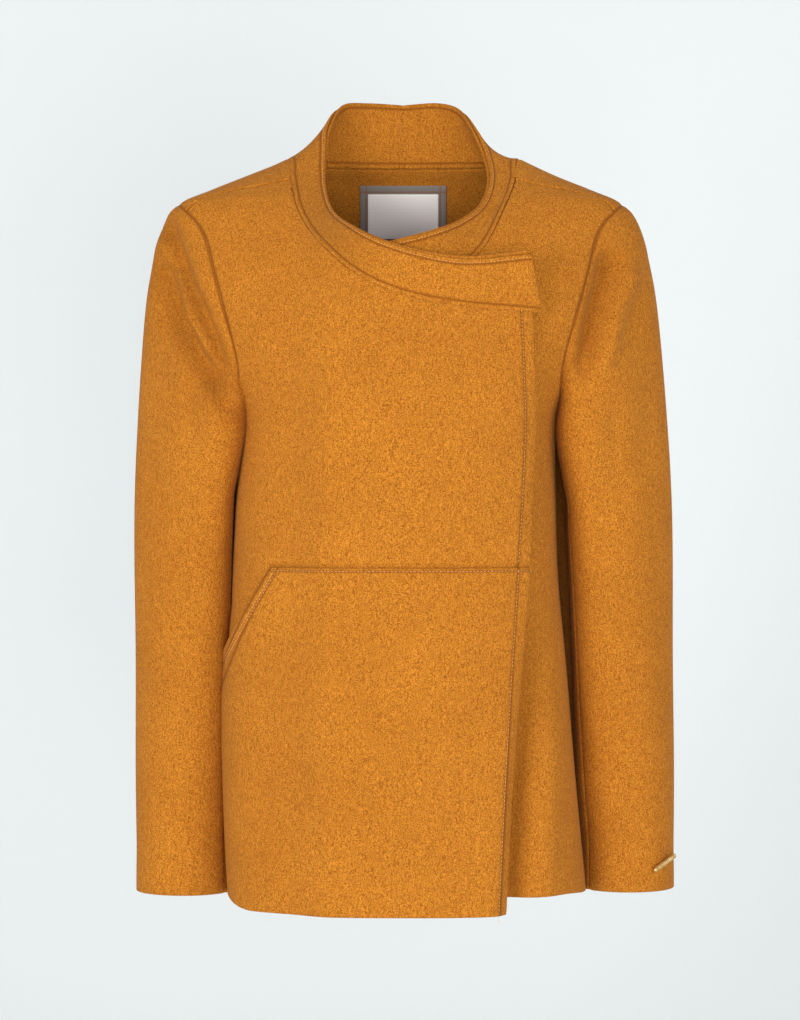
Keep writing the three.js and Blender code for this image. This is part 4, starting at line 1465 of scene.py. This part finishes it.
# Pale backdrop that curves up from the floor, soft studio light, and the camera
studio = {
    "floor": -1.15, "wall": 1.7, "bend": 0.9, "wide": 4.5, "near": -4.2, "high": 3.4,
    "bendSteps": 16, "paperRough": 0.95, "paperSpecular": 0.1,
    "colour": (0.83, 0.855, 0.845, 1), "world": (0.93, 0.96, 1.0, 1), "worldStrength": 0.52,
    "lights": [
        {"name": "keyLight", "at": (-1.7, -2.6, -0.1), "size": 1.1, "power": 54},
        {"name": "frontLight", "at": (0.5, -3.4, -0.7), "size": 1.2, "power": 48},
        {"name": "fillLight", "at": (2.2, -2.0, 0.2), "size": 2.0, "power": 25},
        {"name": "topLight", "at": (0.0, -0.3, 2.3), "size": 2.0, "power": 5},
    ],
    "aim": (0, 0, -0.3),
    "camera": {"at": (-0.003, -3.0, -0.315), "lens": 115.1, "sensor": 36},
}


def makeBackdrop():
    profile = [(studio["near"], studio["floor"])]
    start = studio["wall"] - studio["bend"]
    for k in range(studio["bendSteps"] + 1):
        turn = math.pi / 2 * k / studio["bendSteps"]
        profile.append((start + studio["bend"] * math.sin(turn),
                        studio["floor"] + studio["bend"] * (1 - math.cos(turn))))
    profile.append((studio["wall"], studio["high"]))
    points = [(x, y, z) for y, z in profile for x in (-studio["wide"], studio["wide"])]
    faces = [[2 * k, 2 * k + 1, 2 * k + 3, 2 * k + 2] for k in range(len(profile) - 1)]
    mesh = bpy.data.meshes.new("backdrop")
    mesh.from_pydata(points, [], faces)
    mesh.polygons.foreach_set("use_smooth", [True] * len(faces))
    backdrop = bpy.data.objects.new("backdrop", mesh)
    bpy.context.scene.collection.objects.link(backdrop)
    material = bpy.data.materials.new("palePaper")
    material.use_nodes = True
    shader = material.node_tree.nodes["Principled BSDF"]
    shader.inputs["Base Color"].default_value = studio["colour"]
    shader.inputs["Roughness"].default_value = studio["paperRough"]
    shader.inputs["Specular IOR Level"].default_value = studio["paperSpecular"]
    clear = addNode(material.node_tree, "ShaderNodeBsdfTransparent")
    seenFrom = addNode(material.node_tree, "ShaderNodeNewGeometry")
    paper = addNode(material.node_tree, "ShaderNodeMixShader")
    links = material.node_tree.links
    links.new(seenFrom.outputs["Backfacing"], paper.inputs[0])
    links.new(shader.outputs[0], paper.inputs[1])
    links.new(clear.outputs[0], paper.inputs[2])
    links.new(paper.outputs[0], material.node_tree.nodes["Material Output"].inputs["Surface"])
    mesh.materials.append(material)
    return backdrop


def aimAt(thing, target):
    thing.rotation_euler = (Vector(target) - thing.location).to_track_quat("-Z", "Y").to_euler()


makeBackdrop()
for light in studio["lights"]:
    data = bpy.data.lights.new(light["name"], "AREA")
    data.shape = "SQUARE"
    data.size = light["size"]
    data.energy = light["power"]
    lamp = bpy.data.objects.new(light["name"], data)
    bpy.context.scene.collection.objects.link(lamp)
    lamp.location = light["at"]
    aimAt(lamp, studio["aim"])
world = bpy.data.worlds.new("studioWorld")
world.use_nodes = True
world.node_tree.nodes["Background"].inputs["Color"].default_value = studio["world"]
world.node_tree.nodes["Background"].inputs["Strength"].default_value = studio["worldStrength"]
bpy.context.scene.world = world

cameraData = bpy.data.cameras.new("camera")
cameraData.lens = studio["camera"]["lens"]
cameraData.sensor_width = studio["camera"]["sensor"]
camera = bpy.data.objects.new("camera", cameraData)
bpy.context.scene.collection.objects.link(camera)
camera.location = studio["camera"]["at"]
camera.rotation_euler = (math.pi / 2, 0, 0)
bpy.context.scene.camera = camera
bpy.context.scene.view_settings.view_transform = "Standard"
print("stage: studio lit")
